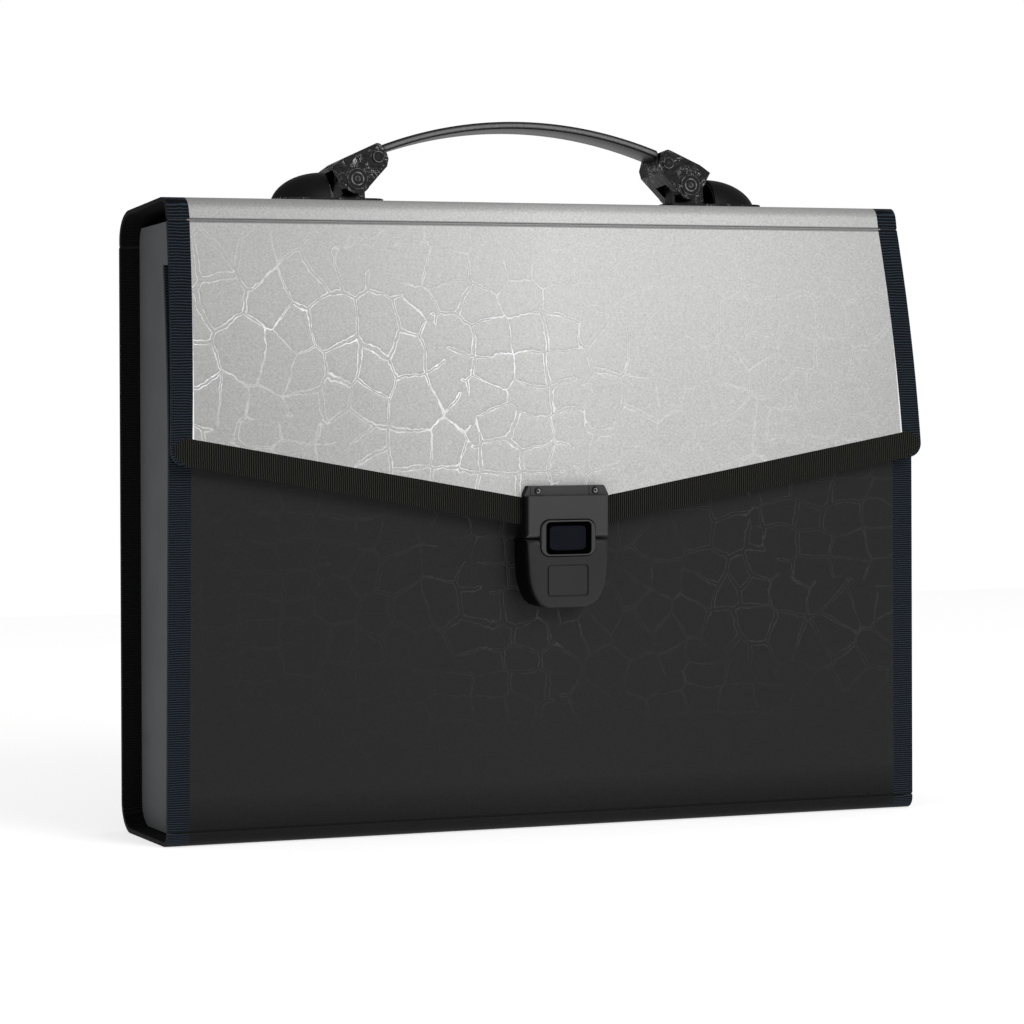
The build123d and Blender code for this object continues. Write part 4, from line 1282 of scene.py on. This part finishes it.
class FILECASE_OT_lock(bpy.types.Operator):
    """Finish the lock and add its bare label panel and the pads round its rivets"""

    bl_idname = "filecase.lock"
    bl_label = "Finish lock"

    def execute(self, context):
        dress(("lock_base", "clasp_cover", "clasp_hook", "latch_bar"), "grained_lock")
        dress(("lock_bezel",), "bezel_plastic")
        dress(("lock_button",), "button_grid")
        dress(("clasp_rivets",), "clasp_rivet_rings")
        dress(("lock_rivets", "lock_backing_plate"), "plated_metal")
        lock_shell()
        wave_spring()
        middle = LABEL_FLOOR - LABEL_SIZE[1] / 2.0
        label = rounded_block((0.0, middle, LABEL_CENTRE), LABEL_SIZE, LABEL_CORNER)
        outward_faces(label)
        apply_modifier(label, "BEVEL", width=0.00015, segments=2, limit_method="ANGLE")
        settle(label, "label_panel", "lock_low_plastic")
        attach(label, "front")
        for side_name, side in SIDES.items():
            place = (side * PAD_X, LEDGE_FACE, CLASP_RIVET_HEIGHT)
            pad = flat_sheet(place, PAD_SIZE, UPRIGHT)
            draw_out(pad, [(0.0, -PAD_STAND, 0.0)])
            apply_modifier(pad, "BEVEL", width=0.0002, segments=2, limit_method="ANGLE")
            settle(pad, f"ledge_pad_{side_name}", "grained_lock")
            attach(pad, "flap")
        return {"FINISHED"}


class FILECASE_OT_stage(bpy.types.Operator):
    """Place the camera, the soft lights, the floor and the white backdrop"""

    bl_idname = "filecase.stage"
    bl_label = "Build stage"

    def execute(self, context):
        scene = context.scene
        settings = scene.filecase_stage
        scene.view_settings.view_transform = "Standard"
        deselect()
        bpy.ops.object.camera_add(
            location=settings.camera_place,
            rotation=(radians(90.0) - settings.camera_pitch, 0.0, settings.camera_yaw),
        )
        camera = bpy.context.object
        camera.data.lens = settings.lens
        camera.data.sensor_width = 36.0
        camera.data.clip_start = 0.05
        camera.data.clip_end = 50.0
        scene.camera = camera
        lights = (
            ("key_light", (0.8, -1.9, 1.3), settings.key_power, 1.4),
            ("fill_light", (-1.8, -0.4, 0.8), settings.fill_power, 1.2),
        )
        for name, place, power, size in lights:
            bpy.ops.object.light_add(type="AREA", location=place)
            light = bpy.context.object
            light.name = name
            light.data.energy = power
            light.data.shape = "DISK"
            light.data.size = size
            aim = Vector((0.0, 0.0, 0.13)) - Vector(place)
            light.rotation_euler = aim.to_track_quat("-Z", "Y").to_euler()
        floor = flat_sheet((0.0, 0.0, 0.0), (settings.floor_size, settings.floor_size))
        net = Net("pale_floor")
        coordinates = net.place()[0]
        speck = net.noise(coordinates, 4.0, 2.0)
        net.shader.inputs["Emission Color"].default_value = (1.0, 1.0, 1.0, 1.0)
        net.shader.inputs["Emission Strength"].default_value = settings.floor_glow
        tone = net.mix(speck, (0.93, 0.93, 0.93, 1.0), (0.96, 0.96, 0.96, 1.0))
        net.finish(tone, 0.95, gloss=0.0)
        settle(floor, "floor", "pale_floor")
        world = bpy.data.worlds.new("studio")
        scene.world = world
        world.use_nodes = True
        tree = world.node_tree
        tree.nodes.clear()
        path = tree.nodes.new("ShaderNodeLightPath")
        seen = tree.nodes.new("ShaderNodeMath")
        seen.operation = "MAXIMUM"
        ambient = tree.nodes.new("ShaderNodeBackground")
        ambient.inputs["Color"].default_value = (1.0, 1.0, 1.0, 1.0)
        ambient.inputs["Strength"].default_value = settings.ambient
        white = tree.nodes.new("ShaderNodeBackground")
        white.inputs["Color"].default_value = (1.0, 1.0, 1.0, 1.0)
        white.inputs["Strength"].default_value = 1.0
        blend = tree.nodes.new("ShaderNodeMixShader")
        output = tree.nodes.new("ShaderNodeOutputWorld")
        tree.links.new(path.outputs["Is Camera Ray"], seen.inputs[0])
        tree.links.new(path.outputs["Is Transmission Ray"], seen.inputs[1])
        tree.links.new(seen.outputs[0], blend.inputs["Fac"])
        tree.links.new(ambient.outputs[0], blend.inputs[1])
        tree.links.new(white.outputs[0], blend.inputs[2])
        tree.links.new(blend.outputs[0], output.inputs["Surface"])
        return {"FINISHED"}


OPERATORS = (
    FILECASE_OT_materials,
    FILECASE_OT_sheets,
    FILECASE_OT_creases,
    FILECASE_OT_gussets,
    FILECASE_OT_dividers,
    FILECASE_OT_strap,
    FILECASE_OT_caps,
    FILECASE_OT_handle,
    FILECASE_OT_lock,
    FILECASE_OT_stage,
)
SETTINGS = {
    "filecase_finish": CaseFinishSettings,
    "filecase_shape": CaseShapeSettings,
    "filecase_stage": CaseStageSettings,
}


class FILECASE_PT_panel(bpy.types.Panel):
    """Settings and steps of the file case"""

    bl_idname = "FILECASE_PT_panel"
    bl_label = "File Case"
    bl_space_type = "VIEW_3D"
    bl_region_type = "UI"
    bl_category = "File Case"

    def draw(self, context):
        """List the settings and the steps."""
        for name, group in SETTINGS.items():
            box = self.layout.box()
            settings = getattr(context.scene, name)
            for key in group.__annotations__:
                box.prop(settings, key)
        for operator in OPERATORS:
            self.layout.operator(operator.bl_idname)


def register():
    """Register the classes and their settings."""
    for group in SETTINGS.values():
        bpy.utils.register_class(group)
    for operator in OPERATORS:
        bpy.utils.register_class(operator)
    bpy.utils.register_class(FILECASE_PT_panel)
    for name, group in SETTINGS.items():
        setattr(bpy.types.Scene, name, bpy.props.PointerProperty(type=group))


def unregister():
    """Remove the classes and their settings."""
    for name in SETTINGS:
        delattr(bpy.types.Scene, name)
    bpy.utils.unregister_class(FILECASE_PT_panel)
    for operator in reversed(OPERATORS):
        bpy.utils.unregister_class(operator)
    for group in reversed(SETTINGS.values()):
        bpy.utils.unregister_class(group)


def main():
    """Build every piece in order."""
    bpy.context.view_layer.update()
    register()
    for operator in OPERATORS:
        group, step = operator.bl_idname.split(".")
        getattr(getattr(bpy.ops, group), step)()
    deselect()


if __name__ == "__main__":
    main()
